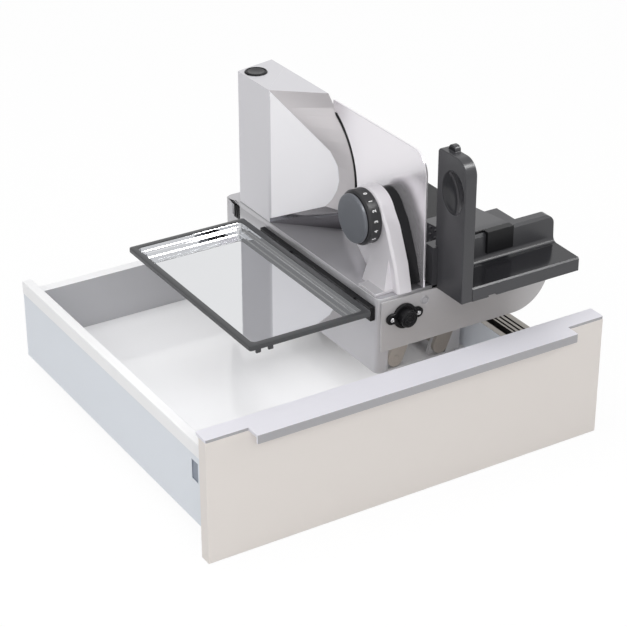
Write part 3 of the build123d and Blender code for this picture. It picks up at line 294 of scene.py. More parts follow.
class Look(Enum):
    """The finishes of this drawer and slicer."""

    FRONT = Finish(
        "front_offwhite", "E9E3DE", 0.46, scale=1400.0, depth=0.03, spread=0.015, gloss_spread=0.015
    )
    HANDLE = Finish("handle_anodised", "E9E8EF", 0.44, 0.10, 900.0, (0.03, 1.0, 1.0), 0.08, 0.03)
    LIP = Finish("handle_lip", "A9A8AB", 0.40, 0.3, 900.0, (0.03, 1.0, 1.0), 0.08, 0.03)
    SIDE = Finish("side_powder_coat", "E4E9F0", 0.38, 0.10, 1800.0, depth=0.05, spread=0.03)
    # Painted highlight: a lighter copy of the side's metal for the up-facing tops of the sides and the
    # back wall
    BAND = Finish("side_top_painted_highlight", "FCFCFD", 0.34, 0.0, 1800.0, depth=0.04, spread=0.02)
    BACK = Finish("back_panel_grey", "B9B9BC", 0.34, 0.2, 1500.0, depth=0.04, spread=0.03)
    BOARD = Finish(
        "white_board", "F9F9FA", 0.14, scale=1200.0, depth=0.015, spread=0.012, gloss_spread=0.02, coat=0.6
    )
    RUNNER = Finish("runner_zinc", "B4B4B6", 0.32, 0.9, 500.0, (1.0, 0.05, 1.0), 0.08, 0.08)
    WARM = Finish("low_side_top", "A9A49D", 0.34, 0.3, 1500.0, depth=0.04, spread=0.03)
    GROOVE = Finish("low_side_groove", "3A3836", 0.45, 0.2, 1500.0, depth=0.06, spread=0.05)
    BRACKET = Finish("bracket_grey", "8E96A4", 0.45, scale=1500.0, depth=0.1, spread=0.06)
    MOUNT = Finish("mount_grey", "C4C3C4", 0.40, 0.35, 1200.0, depth=0.06, spread=0.04)
    ARM = Finish("arm_taupe", "A59D95", 0.34, 0.4, 700.0, (1.0, 1.0, 0.06), 0.12, 0.10)
    BRIGHT = Finish("bright_steel", "D4D4D6", 0.18, 1.0, 700.0, depth=0.04, spread=0.05)
    BASE = Finish("base_satin", "C2C1C4", 0.36, 0.35, 1500.0, depth=0.06, spread=0.04)
    DECK = Finish("deck_satin", "B9B8BC", 0.22, 0.45, 900.0, depth=0.015, spread=0.03, gloss_spread=0.03)
    PLATE = Finish("front_plate_satin", "C6C4C5", 0.36, 0.35, 900.0, (0.05, 1.0, 1.0), 0.08, 0.05)
    # Painted light: the housing's satin paint, made lighter for its front face
    SAIL = Finish("housing_satin_painted_light", "FDFCFF", 0.38, 0.0, 2200.0, depth=0.02, spread=0.015)
    # Painted shade: a darker copy of the same paint for the housing's left side and top, and the guard's
    # top
    STRIP = Finish("housing_painted_shade", "D8D7DB", 0.40, 0.20, 2200.0, depth=0.02, spread=0.015)
    # Painted shade: a darker copy of the housing's satin paint for the guard's sloping face
    GUARD = Finish("guard_painted_shade", "CBC7C9", 0.40, 0.1, 2200.0, depth=0.04, spread=0.03)
    # Polished steel, darkened with painted shade for the wedge under the housing's front
    WEDGE = Finish("wedge_polished_painted_shade", "8B898D", 0.20, 0.85, 900.0, depth=0.02, spread=0.05)
    ANTHRACITE = Finish(
        "anthracite_moulded", "3E3E41", 0.30, scale=2600.0, depth=0.12, spread=0.06, gloss_spread=0.06
    )
    # Polished anthracite; its gloss is its own, its darker colour is painted reflection on the shelf and
    # painted shade in the finger recess
    GLOSSY = Finish(
        "anthracite_gloss_painted_shade", "2B2B2E", 0.14, scale=1800.0, depth=0.03, spread=0.04, specular=0.35
    )
    BLACK = Finish("black_moulded", "19191B", 0.28, scale=2200.0, depth=0.10, spread=0.08, specular=0.22)
    KNOB = Finish("knob_graphite", "6B6E74", 0.36, 0.2, 2000.0, depth=0.05, spread=0.04)
    RING = Finish("dial_ring", "323234", 0.34, scale=2000.0, depth=0.08, spread=0.06, specular=0.35)
    BLADE = Finish("blade_ground", "D6D6D9", 0.16, 1.0, 900.0, depth=0.03, spread=0.04)
    STOP = Finish(
        "stop_anodised", "F2EFF3", 0.24, 0.75, 1400.0, depth=0.008, spread=0.015, gloss_spread=0.02
    )
    CAST = Finish("cast_silver", "E2DFE3", 0.32, 0.25, 1800.0, depth=0.05, spread=0.04)
    NYLON = Finish("gear_cream", "D9D6CB", 0.45, scale=1500.0, depth=0.1, spread=0.05)
    MOTOR = Finish("motor_dark", "4C4C50", 0.40, 0.6, 900.0, depth=0.1, spread=0.06)
    TRAY = Finish("tray_polished", "E0E1E3", 0.03, 1.0, 700.0, depth=0.004, spread=0.02, gloss_spread=0.01)
    RIM = Finish("tray_rim_grey", "3E3F41", 0.34, scale=1800.0, depth=0.08, spread=0.05)
    NUMBER = Finish("number_white", "F2F2F2", 0.5, scale=900.0, depth=0.02, spread=0.02)


class Shop:
    """Makes objects and gives them their finish and their ride."""

    @staticmethod
    def link(name: str, bm: bmesh.types.BMesh) -> bpy.types.Object:
        """Turn a finished bmesh into a linked, smooth object.

        Args:
            name: The object's name.
            bm: The shape, which is freed.

        Returns:
            The new object.
        """
        mesh = bpy.data.meshes.new(name)
        for face in bm.faces:
            face.smooth = True
        bm.to_mesh(mesh)
        bm.free()
        obj = bpy.data.objects.new(name, mesh)
        bpy.context.scene.collection.objects.link(obj)
        return obj

    @staticmethod
    def ease(obj: bpy.types.Object, radius: float, angle: float = SHARP, segments: int = 3) -> None:
        """Round an object's edges with a modifier.

        Args:
            obj: The object.
            radius: Width of the rounding in millimetres.
            angle: Smallest angle between faces that gets it, in degrees.
            segments: Number of steps across the rounding.
        """
        bevel = obj.modifiers.new("edges", "BEVEL")
        bevel.width = radius / 1000.0
        bevel.segments = segments
        bevel.limit_method = "ANGLE"
        bevel.angle_limit = math.radians(angle)
        bevel.harden_normals = True
        flats = obj.modifiers.new("flats", "WEIGHTED_NORMAL")
        flats.keep_sharp = True

    @staticmethod
    def dress(obj: bpy.types.Object, look: Look) -> None:
        """Give an object one finish.

        Args:
            obj: The object.
            look: Its finish.
        """
        obj.data.materials.clear()
        obj.data.materials.append(look.value.material())

    @staticmethod
    def zone(obj: bpy.types.Object, look: Look, chosen: Chosen) -> None:
        """Give some of an object's faces another finish.

        Args:
            obj: The object.
            look: The other finish.
            chosen: Says from a face's middle, in millimetres, and its normal whether it gets it.
        """
        obj.data.materials.append(look.value.material())
        index = len(obj.data.materials) - 1
        for face in obj.data.polygons:
            if chosen(millimetres(face.center), face.normal):
                face.material_index = index

    @staticmethod
    def fit(obj: bpy.types.Object, body: str, *nodes: str) -> bpy.types.Object:
        """Let an object move with its body, in place of CAD nodes if any are named.

        Args:
            obj: The object.
            body: The body that it rides on.
            nodes: The nodes that it stands in for.

        Returns:
            The same object.
        """
        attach(obj, body)
        for name in nodes:
            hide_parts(name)
        LOG.info("fitted %s on %s", obj.name, body)
        return obj


class Skin:
    """Carries CAD nodes over with their finish."""

    @staticmethod
    def as_is(frame: dict, look: Look, *nodes: str) -> None:
        """Give CAD nodes a finish and leave their shape.

        Args:
            frame: The loaded frame.
            look: The finish.
            nodes: The nodes' names.
        """
        for name in nodes:
            Shop.dress(frame["nodes"][name], look)
            LOG.info("node %s: %s", name, look.name)

    @staticmethod
    def plain(
        frame: dict, body: str, look: Look, node: str, change: Callable[[bmesh.types.BMesh], None]
    ) -> bpy.types.Object:
        """Stand in for a CAD node with a merged copy that is changed a little.

        Args:
            frame: The loaded frame.
            body: The body that it rides on.
            look: The finish.
            node: The node's name.
            change: Makes the change.

        Returns:
            The copy.
        """
        bm = bmesh.new()
        bm.from_mesh(frame["nodes"][node].data)
        bmesh.ops.remove_doubles(bm, verts=bm.verts, dist=SAME)
        change(bm)
        obj = Shop.link(f"{node}_changed", bm)
        obj.data.set_sharp_from_angle(angle=math.radians(SHARP))
        Shop.dress(obj, look)
        return Shop.fit(obj, body, node)

    @staticmethod
    def eased(frame: dict, body: str, look: Look, node: str, radius: float) -> bpy.types.Object:
        """Stand in for a CAD node with a copy whose edges are rounded a little.

        Args:
            frame: The loaded frame.
            body: The body that it rides on.
            look: The finish.
            node: The node's name.
            radius: Width of the rounding in millimetres.

        Returns:
            The copy.
        """
        bm = bmesh.new()
        bm.from_mesh(frame["nodes"][node].data)
        bmesh.ops.remove_doubles(bm, verts=bm.verts, dist=SAME)
        bmesh.ops.dissolve_limit(
            bm,
            angle_limit=math.radians(FLAT),
            verts=bm.verts,
            edges=bm.edges,
            use_dissolve_boundaries=False,
        )
        obj = Shop.link(f"{node}_eased", bm)
        Shop.ease(obj, radius)
        Shop.dress(obj, look)
        return Shop.fit(obj, body, node)


@dataclass(frozen=True)
class Turned:
    """A piece turned from one profile about an axis."""

    name: str
    axis: Axis
    centre: Triple
    profile: tuple[Pair, ...]
    steps: int = 96

    def build(self, look: Look, edge: float = 0.0) -> bpy.types.Object:
        """Spin the profile.

        Args:
            look: The finish.
            edge: Width of the rounding of its edges in millimetres, if any.

        Returns:
            The turned object.
        """
        along = Vector(self.axis.value)
        out = Vector((Axis.RIGHT if self.axis is Axis.UP else Axis.UP).value)
        bm = bmesh.new()
        points = [bm.verts.new((along * a + out * r) / 1000.0) for a, r in self.profile]
        edges = [bm.edges.new(pair) for pair in zip(points, points[1:])]
        bmesh.ops.spin(
            bm,
            geom=points + edges,
            cent=ORIGIN,
            axis=along,
            angle=math.tau,
            steps=self.steps,
            use_merge=True,
        )
        bmesh.ops.remove_doubles(bm, verts=bm.verts, dist=SAME)
        bmesh.ops.recalc_face_normals(bm, faces=bm.faces)
        bmesh.ops.translate(bm, verts=bm.verts, vec=place(*self.centre))
        obj = Shop.link(self.name, bm)
        Shop.dress(obj, look)
        if edge:
            Shop.ease(obj, edge, segments=2)
        return obj


@dataclass(frozen=True)
class Lamp:
    """One soft round lamp, which either lights the scene unmirrored or gives only glints."""

    name: str
    where: Triple
    size: float
    power: float
    glints: bool = False

    def hang(self, at: Vector, aim: Vector | None = None) -> None:
        """Hang the lamp.

        Args:
            at: Its place in metres, from the model's origin.
            aim: The place that it points at, or nothing for straight down.
        """
        data = bpy.data.lights.new(self.name, "AREA")
        data.shape = "DISK"
        data.size = self.size
        data.energy = self.power
        lamp = bpy.data.objects.new(self.name, data)
        bpy.context.scene.collection.objects.link(lamp)
        lamp.location = at
        if aim is not None:
            lamp.rotation_euler = (aim - at).to_track_quat("-Z", "Y").to_euler()
        lamp.visible_glossy = self.glints
        lamp.visible_diffuse = not self.glints
        lamp.visible_camera = False


@dataclass
class Studio:
    """Camera, floor, lamps and world."""

    eye: Triple = (-939.4, -1770.0, 1409.4)
    azimuth: float = 31.6
    elevation: float = 28.0
    lens: float = 114.47
    sensor: float = 36.0
    clip: Pair = (0.05, 60.0)
    floor_size: float = 30.0
    floor_drop: float = 0.0008
    floor_color: str = "DADADA"
    floor_roughness: float = 0.7
    floor_specular: float = 0.2
    floor_glow: float = 1.04
    floor_share: float = 0.90
    ambient: float = 0.46
    dark_side: Triple = (-0.70, 0.70, 0.0)
    dark_range: Pair = (0.3, 0.8)
    dark_strength: float = 0.30
    middle: Triple = (0.0, 0.0, 0.15)
    upper_middle: Triple = (0.0, 0.0, 0.2)

    # Placed in metres from the model's origin
    lamps: tuple[Lamp, ...] = (
        Lamp("key_lamp", (-1.3, -2.6, 1.8), 2.0, 30.0),
        Lamp("side_lamp", (-2.6, -0.2, 1.9), 1.6, 9.0),
        Lamp("fill_lamp", (2.4, -1.8, 1.8), 2.2, 12.0),
        Lamp("top_lamp", (-0.5, 0.3, 3.0), 2.0, 27.0),
    )
    glint: Lamp = Lamp("edge_lamp", (1.2, -1.2, 2.1), 0.7, 22.0, glints=True)

    # Placed inside the drawer, in millimetres like its parts
    fillers: tuple[Lamp, ...] = (
        Lamp("under_tray", (195.0, 230.0, 208.0), 0.26, 0.14),
        Lamp("under_base", (320.0, 200.0, 95.0), 0.24, 0.05),
        Lamp("behind_plate", (395.0, 120.0, 150.0), 0.12, 0.035),
    )

    def camera(self) -> None:
        """Set up the camera at the picture's viewing angle."""
        data = bpy.data.cameras.new("camera")
        data.lens = self.lens
        data.sensor_width = self.sensor
        data.clip_start, data.clip_end = self.clip
        camera = bpy.data.objects.new("camera", data)
        bpy.context.scene.collection.objects.link(camera)
        camera.location = place(*self.eye)
        a, e = math.radians(self.azimuth), math.radians(self.elevation)
        ahead = Vector((math.sin(a) * math.cos(e), math.cos(a) * math.cos(e), -math.sin(e)))
        camera.rotation_euler = ahead.to_track_quat("-Z", "Y").to_euler()
        bpy.context.scene.camera = camera

    def floor(self) -> None:
        """Lay a pale floor, which the camera and mirrors see mostly as an even glow."""
        bm = bmesh.new()
        bmesh.ops.create_grid(bm, x_segments=1, y_segments=1, size=self.floor_size / 2)
        bmesh.ops.translate(bm, verts=bm.verts, vec=(0.0, 0.0, -self.floor_drop))
        floor = Shop.link("floor", bm)
        material = bpy.data.materials.new("floor_pale")
        material.use_nodes = True
        tree = Tree(material.node_tree)
        shader = material.node_tree.nodes["Principled BSDF"]
        shader.inputs["Base Color"].default_value = linear(self.floor_color)
        shader.inputs["Roughness"].default_value = self.floor_roughness
        shader.inputs["Specular IOR Level"].default_value = self.floor_specular
        seen = tree.add("ShaderNodeLightPath")
        either = tree.math("MAXIMUM", seen.outputs["Is Camera Ray"], seen.outputs["Is Glossy Ray"])
        glow = tree.add("ShaderNodeEmission", {"Color": WHITE, "Strength": self.floor_glow})
        share = tree.math("MULTIPLY", either, self.floor_share)
        mix = tree.add("ShaderNodeMixShader", {0: share, 1: shader.outputs[0], 2: glow.outputs[0]})
        output = material.node_tree.nodes["Material Output"]
        material.node_tree.links.new(mix.outputs[0], output.inputs["Surface"])
        floor.data.materials.append(material)

    def lights(self) -> None:
        """Hang the soft lamps, the small ones inside the drawer and the one for the edges."""
        for lamp in self.lamps:
            lamp.hang(Vector(lamp.where), Vector(self.middle))
        for lamp in self.fillers:
            lamp.hang(place(*lamp.where))
        self.glint.hang(Vector(self.glint.where), Vector(self.upper_middle))

    def world(self) -> None:
        """Set a backdrop that looks white, gives less light, and is dark on one side in mirrors."""
        world = bpy.data.worlds.new("studio")
        bpy.context.scene.world = world
        world.use_nodes = True
        tree = Tree(world.node_tree)
        back = world.node_tree.nodes["Background"]
        seen = tree.add("ShaderNodeLightPath")
        coords = tree.add("ShaderNodeTexCoord").outputs["Generated"]
        side = tree.add("ShaderNodeVectorMath", {0: coords, 1: self.dark_side}, operation="DOT_PRODUCT")
        first, last = self.dark_range
        mirrored = tree.add(
            "ShaderNodeMapRange",
            {
                "Value": side.outputs["Value"],
                "From Min": first,
                "From Max": last,
                "To Min": 1.0,
                "To Max": self.dark_strength,
            },
        )
        glossy = tree.add(
            "ShaderNodeMix",
            {"Factor": seen.outputs["Is Glossy Ray"], "A": self.ambient, "B": mirrored.outputs[0]},
        )
        direct = tree.math("MAXIMUM", seen.outputs["Is Camera Ray"], seen.outputs["Is Transmission Ray"])
        strength = tree.add("ShaderNodeMix", {"Factor": direct, "A": glossy.outputs[0], "B": 1.0})
        back.inputs["Color"].default_value = WHITE
        world.node_tree.links.new(strength.outputs[0], back.inputs["Strength"])
        bpy.context.scene.view_settings.view_transform = "Standard"

    def build(self) -> None:
        """Make the whole studio."""
        self.camera()
        self.floor()
        self.lights()
        self.world()


@dataclass
class Drawer:
    """Runners, drawer box, front and floor mount."""

    edge: float = 0.8
    # Height above which the left side's top gets the painted highlight
    band_bottom: float = 119.0
    groove_low: float = 94.0
    groove_high: float = 103.5
    groove_end: float = 575.0

    def panels(self, frame: dict) -> None:
        """Dress the front, the sides, the floor and the back.

        Args:
            frame: The loaded frame.
        """
        Skin.eased(frame, "drawer", Look.FRONT, "drawer_front", radius=1.2)
        handle = Skin.eased(frame, "drawer", Look.HANDLE, "handle_profile", radius=0.6)
        Shop.zone(handle, Look.LIP, lambda c, n: n.y < -MOSTLY)
        left = Skin.eased(frame, "drawer", Look.SIDE, "side_left", radius=self.edge)
        # Painted highlight on the left side's top
        Shop.zone(left, Look.BAND, lambda c, n: c.z > self.band_bottom and n.x < PARTLY)
        right = Skin.eased(frame, "drawer", Look.WARM, "side_right", radius=0.4)
        Shop.zone(right, Look.SIDE, lambda c, n: c.z < self.groove_low)
        Shop.zone(
            right,
            Look.GROOVE,
            lambda c, n: self.groove_low < c.z < self.groove_high and c.x < self.groove_end,
        )
        Skin.eased(frame, "drawer", Look.BOARD, "drawer_floor", radius=self.edge)
        back = Skin.eased(frame, "drawer", Look.BACK, "back_wall", radius=self.edge)
        # Painted highlight on the back wall's top
        Shop.zone(back, Look.BAND, lambda c, n: n.z > PARTLY)
        Skin.as_is(frame, Look.BRACKET, "front_brackets")

    def metalwork(self, frame: dict) -> None:
        """Dress the runners, the floor mount and the arms.

        Args:
            frame: The loaded frame.
        """
        for rail in ("drawer_rail", "cabinet_rail", "middle_rail"):
            Skin.as_is(frame, Look.RUNNER, f"{rail}_left", f"{rail}_right")
        Skin.eased(frame, "drawer", Look.MOUNT, "floor_mount", radius=0.5)
        Skin.as_is(frame, Look.BRIGHT, "mount_screws")
        Skin.as_is(frame, Look.ARM, "lower_shafts")
        Skin.eased(frame, "drawer", Look.MOUNT, "arm_stop", radius=0.5)
        for side in ("left", "right"):
            for end in ("front", "rear"):
                Skin.eased(frame, f"{side}_arms", Look.ARM, f"{side}_arm_{end}", radius=0.5)
            Skin.as_is(frame, Look.ARM, f"{side}_cross_shaft")

    def build(self, frame: dict) -> None:
        """Dress the drawer.

        Args:
            frame: The loaded frame.
        """
        self.panels(frame)
        self.metalwork(frame)


@dataclass
class SlicerBase:
    """Frame of the slicer under the deck, with its release button."""

    edge: float = 0.6
    deck_low: float = 229.0
    button: Pair = (350.0, 199.5)
    button_front: float = 88.0
    screw_spread: float = 20.5
    flange_front: float = 99.0
    ring: Pair = (382.0, 213.0)
    plate_front: float = 103.0
    step: Pair = (461.2, 462.2)
    slots_back: float = 478.0
    slots_low: float = 200.0
    slots_high: float = 221.5
    rear_drop: float = 7.0
    rear_plate_low: float = 222.0
    rear_deck_low: float = 225.0
    rail_x: float = 303.0

    def lower_plate(self, bm: bmesh.types.BMesh) -> None:
        """Bring the rear plate's top edge down with the deck.

        Args:
            bm: The plate's merged mesh.
        """
        top = [v for v in bm.verts if millimetres(v.co).z > self.rear_plate_low]
        bmesh.ops.translate(bm, verts=top, vec=(0.0, 0.0, -self.rear_drop / 1000.0))

    def lower_rear(self, bm: bmesh.types.BMesh) -> None:
        """Press the deck down behind the tower.

        Args:
            bm: The shell's merged mesh.
        """
        cuts = [(place(0.0, y, 0.0), Axis.BACK.value) for y in (*self.step, self.slots_back)]
        cuts += [(place(0.0, 0.0, z), Axis.UP.value) for z in (self.slots_low, self.slots_high)]
        for point, normal in cuts:
            whole = bm.verts[:] + bm.edges[:] + bm.faces[:]
            bmesh.ops.bisect_plane(bm, geom=whole, plane_co=point, plane_no=normal)
        middle = sum(self.step) / 2
        places = [(v, millimetres(v.co)) for v in bm.verts]
        low = [v for v, at in places if at.y > middle and at.z > self.rear_deck_low]
        bmesh.ops.translate(bm, verts=low, vec=(0.0, 0.0, -self.rear_drop / 1000.0))

    def shell(self, frame: dict) -> None:
        """Dress the pressed shell, the plates and the table.

        Args:
            frame: The loaded frame.
        """
        shell = Skin.plain(frame, "slicer", Look.BASE, "base_shell", self.lower_rear)
        Shop.zone(
            shell,
            Look.BLACK,
            lambda c, n: self.step[1] < c.y < self.slots_back and self.slots_low < c.z < self.slots_high,
        )
        Shop.zone(shell, Look.DECK, lambda c, n: n.z > STRAIGHT and c.z > self.deck_low)
        table = Skin.eased(frame, "slicer", Look.BASE, "table_deck", radius=self.edge)
        Shop.zone(table, Look.BLACK, lambda c, n: n.z > STRAIGHT)
        Skin.eased(frame, "slicer", Look.PLATE, "front_plate", radius=0.5)
        Skin.plain(frame, "slicer", Look.PLATE, "rear_plate", self.lower_plate)
        Skin.eased(frame, "slicer", Look.MOUNT, "swing_brackets", radius=0.5)
        rail = Skin.eased(frame, "slicer", Look.BLACK, "tray_rail", radius=0.6)
        Shop.zone(rail, Look.BASE, lambda c, n: c.x > self.rail_x and n.z > PARTLY)
        Skin.as_is(frame, Look.BRIGHT, "carriage_rail")

    def release(self, frame: dict) -> None:
        """Make the release button with its rings, its flange and its screws.

        Args:
            frame: The loaded frame.
        """
        Skin.eased(frame, "slicer", Look.BLACK, "release_flange", radius=0.5)
        x, z = self.button
        rings = ((0.0, 0.0), (0.0, 3.2), (0.7, 3.8), (0.7, 4.8), (0.0, 5.4), (0.0, 7.4))
        edge = ((0.8, 8.0), (0.8, 9.0), (0.2, 9.6), (0.5, 11.0), (1.6, 12.0), (25.0, 12.0), (25.0, 0.0))
        button = Turned("release_button_turned", Axis.BACK, (x, self.button_front, z), rings + edge)
        Shop.fit(button.build(Look.BLACK, edge=0.25), "release_button", "release_button")
        profile = ((0.7, 0.0), (0.7, 1.1), (-1.9, 1.3), (-1.7, 2.2), (-1.0, 3.0), (0.0, 3.4), (0.0, 0.0))
        screws = []
        for side in (-self.screw_spread, self.screw_spread):
            middle = (x + side, self.flange_front, z)
            screw = Turned("screw", Axis.BACK, middle, profile, steps=48)
            screws.append(screw.build(Look.BRIGHT))
        Shop.fit(join(screws, "release_screws_turned"), "slicer", "release_screws")

    def pin(self) -> None:
        """Make the end of the hinge pin, sunk in its ring."""
        x, z = self.ring
        face = ((-0.4, 0.0), (-0.4, 4.0), (0.6, 4.3), (0.6, 5.0), (-1.0, 5.2), (-1.2, 6.2), (-0.6, 6.5))
        rear = ((0.0, 6.5), (0.0, 4.4), (3.0, 4.4), (3.0, 0.0))
        pin = Turned("plug_ring_turned", Axis.BACK, (x, self.plate_front, z), face + rear, steps=64)
        Shop.fit(pin.build(Look.BASE, edge=0.15), "slicer", "plug_ring")

    def build(self, frame: dict) -> None:
        """Dress the base.

        Args:
            frame: The loaded frame.
        """
        self.shell(frame)
        self.release(frame)
        self.pin()


@dataclass
class Tower:
    """Motor housing, blade guard, drive and blade."""

    top: float = 425.0
    button: Pair = (331.0, 444.5)
    blade: Triple = (388.5, 374.0, 307.0)
    # Where the black strip of painted shade lies in the gap
    seal_x: Pair = (382.4, 384.9)
    seal_radii: Pair = (100.4, 102.9)
    seal_arc: Pair = (26.0, 118.0)
    seal_steps: int = 48

    def power(self) -> None:
        """Make the power button in its ring."""
        x, y = self.button
        ring = ((0.0, 12.9), (0.0, 16.0), (0.8, 15.9), (1.9, 14.8), (2.1, 13.9), (1.6, 13.0), (0.0, 12.9))
        bezel = Turned("power_bezel_turned", Axis.UP, (x, y, self.top), ring)
        Shop.fit(bezel.build(Look.BLACK), "slicer", "power_bezel")
        side = ((-6.0, 0.0), (-6.0, 12.5), (0.9, 12.5))
        dish = ((1.7, 11.9), (1.6, 10.9), (0.8, 8.0), (0.3, 4.0), (0.2, 0.0))
        button = Turned("power_button_turned", Axis.UP, (x, y, self.top), side + dish)
        Shop.fit(button.build(Look.RING, edge=0.2), "power_button", "power_button")

    def seal(self) -> None:
        """Bend a black strip into the gap between the guard and the stop plate, as painted shade of that
        gap.
        """
        x, y, z = self.blade
        x0, x1 = self.seal_x
        r0, r1 = self.seal_radii
        corners = ((x0, r0), (x1, r0), (x1, r1), (x0, r1))
        first, last = (math.radians(a) for a in self.seal_arc)
        bm = bmesh.new()
        points = [bm.verts.new(Vector((a - x, 0.0, r)) / 1000.0) for a, r in corners]
        edges = [bm.edges.new(pair) for pair in zip(points, points[1:] + points[:1])]
        bmesh.ops.rotate(bm, verts=points, cent=ORIGIN, matrix=Matrix.Rotation(first, 3, "X"))
        bmesh.ops.spin(
            bm,
            geom=points + edges,
            cent=ORIGIN,
            axis=Axis.RIGHT.value,
            angle=last - first,
            steps=self.seal_steps,
        )
        bmesh.ops.holes_fill(bm, edges=[e for e in bm.edges if e.is_boundary], sides=len(corners))
        bmesh.ops.recalc_face_normals(bm, faces=bm.faces)
        bmesh.ops.translate(bm, verts=bm.verts, vec=place(x, y, z))
        strip = Shop.link("guard_gap_shade", bm)
        Shop.dress(strip, Look.BLACK)
        Shop.fit(strip, "slicer")

    def build(self, frame: dict) -> None:
        """Dress the tower.

        Args:
            frame: The loaded frame.
        """
        housing = Skin.eased(frame, "slicer", Look.SAIL, "motor_housing", radius=0.9)
        # Painted shade on the housing's left side and top
        Shop.zone(housing, Look.STRIP, lambda c, n: n.x < -NEARLY or n.z > STRAIGHT)
        # The guard carries the darker copy of the housing's paint as painted shade
        guard = Skin.eased(frame, "slicer", Look.GUARD, "blade_guard", radius=0.6)
        # Painted shade on the guard's top, as on the housing's top
        Shop.zone(guard, Look.STRIP, lambda c, n: n.z > STRAIGHT)
        # The wedge's dark steel colour is painted shade; its polish is its own
        Skin.eased(frame, "slicer", Look.WEDGE, "slice_deflector", radius=0.4)
        self.power()
        # A black strip as painted shade in the gap between guard and stop plate
        self.seal()
        Skin.as_is(frame, Look.BLACK, "power_switch")
        Skin.as_is(frame, Look.MOTOR, "gearbox_frame", "motor")
        Skin.as_is(frame, Look.BRIGHT, "motor_pinion", "blade_shaft")
        Skin.as_is(frame, Look.NYLON, "drive_gear")
        Skin.as_is(frame, Look.BLADE, "blade")
        Skin.eased(frame, "blade_lock", Look.BLACK, "blade_lock", radius=0.4)


@dataclass
class StopAndDial:
    """Stop plate, its arm and the numbered dial."""

    knob_x: float = 316.7
    knob_y: float = 180.0
    knob_z: float = 314.0
    face_depth: float = 4.0
    ring_r: float = 37.0
    numbers: int = 16
    first: float = 15.0
    pitch: float = 21.4
    number_x: float = 332.0
    number_size: float = 7.2
    number_rise: float = 0.08
    number_weight: float = 0.25
    sharp: float = 30.0
    foot_top: float = 238.0

    def knob(self) -> bpy.types.Object:
        """Turn the knob with its domed face, its groove and its black ring.

        Returns:
            The knob.
        """
        face = ((0.9, 0.0), (0.5, 18.0), (0.0, 30.5), (0.3, 32.0), (1.4, 33.0), (4.6, 33.2))
        groove = ((4.6, 31.6), (5.6, 31.6))
        ring = ((5.6, 34.2), (7.6, 36.4), (9.0, 37.0), (22.8, 37.0), (24.0, 36.2), (24.0, 0.0))
        middle = (self.knob_x, self.knob_y, self.knob_z)
        knob = Turned("dial_knob_turned", Axis.RIGHT, middle, face + groove + ring, steps=128)
        obj = knob.build(Look.RING, edge=0.3)
        Shop.zone(obj, Look.KNOB, lambda c, n: c.x < self.knob_x + self.face_depth)
        return obj

    def number(self, k: int) -> bpy.types.Object:
        """Bend one number round the ring.

        Args:
            k: The number.

        Returns:
            Its object.
        """
        text = bpy.data.curves.new(f"number_{k}", "FONT")
        text.body = str(k)
        text.size = self.number_size / 1000.0
        text.align_x = "CENTER"
        text.align_y = "CENTER"
        text.offset = self.number_weight / 1000.0
        text.extrude = self.number_rise / 1000.0
        holder = bpy.data.objects.new(f"number_{k}", text)
        mesh = bpy.data.meshes.new_from_object(holder)
        bpy.data.objects.remove(holder)
        turn = math.radians(-self.first - self.pitch * k)
        for vertex in mesh.vertices:
            angle = turn + vertex.co.x * 1000.0 / self.ring_r
            r = self.ring_r + self.number_rise / 2 + vertex.co.z * 1000.0
            vertex.co = place(
                self.number_x - vertex.co.y * 1000.0,
                self.knob_y + r * math.sin(angle),
                self.knob_z + r * math.cos(angle),
            )
        obj = bpy.data.objects.new(f"number_{k}", mesh)
        bpy.context.scene.collection.objects.link(obj)
        return obj

    def scale(self) -> bpy.types.Object:
        """Set all the numbers on the ring.

        Returns:
            One object with all the numbers.
        """
        scale = join([self.number(k) for k in range(self.numbers)], "dial_numbers")
        scale.data.set_sharp_from_angle(angle=math.radians(self.sharp))
        Shop.dress(scale, Look.NUMBER)
        return scale

    def build(self, frame: dict) -> None:
        """Dress the stop plate and the dial.

        Args:
            frame: The loaded frame.
        """
        Skin.eased(frame, "stop", Look.STOP, "stop_plate", radius=0.5)
        # Painted shade: the carrier's black stands in for the shade in the gap between the arm and the
        # stop plate
        Skin.eased(frame, "stop", Look.BLACK, "stop_carrier", radius=0.5)
        arm = Skin.eased(frame, "slicer", Look.CAST, "knob_arm", radius=1.5)
        Shop.zone(arm, Look.BASE, lambda c, n: c.z < self.foot_top and n.z > STRAIGHT)
        Shop.fit(self.knob(), "dial", "dial_knob")
        Shop.fit(self.scale(), "dial")
        Skin.as_is(frame, Look.BRIGHT, "dial_spindle")


@dataclass
class Carriage:
    """Food carriage with its hand guard and holder."""

    shelf_top: float = 249.0
    shelf_back: float = 95.0
    guard_x: float = 397.05
    recess_y: Pair = (46.0, 96.0)
    recess_lean: float = 0.4

    def build(self, frame: dict) -> None:
        """Dress the carriage's pieces.

        Args:
            frame: The loaded frame.
        """
        table = Skin.eased(frame, "carriage", Look.ANTHRACITE, "carriage_table", radius=1.6)
        # The shelf's gloss is its own; its darker colour is a painted reflection of the ridge
        Shop.zone(
            table,
            Look.GLOSSY,
            lambda c, n: n.z > STRAIGHT and c.z < self.shelf_top and c.y < self.shelf_back,
        )
        guard = Skin.eased(frame, "carriage", Look.ANTHRACITE, "hand_guard", radius=1.2)
        # Painted shade: the darker glossy copy in the guard's finger recess
        first, last = self.recess_y
        Shop.zone(
            guard,
            Look.GLOSSY,
            lambda c, n: c.x > self.guard_x and n.x < -self.recess_lean and first < c.y < last,
        )
        Skin.eased(frame, "holder", Look.ANTHRACITE, "food_holder", radius=0.8)
        Skin.eased(frame, "holder", Look.BLACK, "holder_hook", radius=0.4)


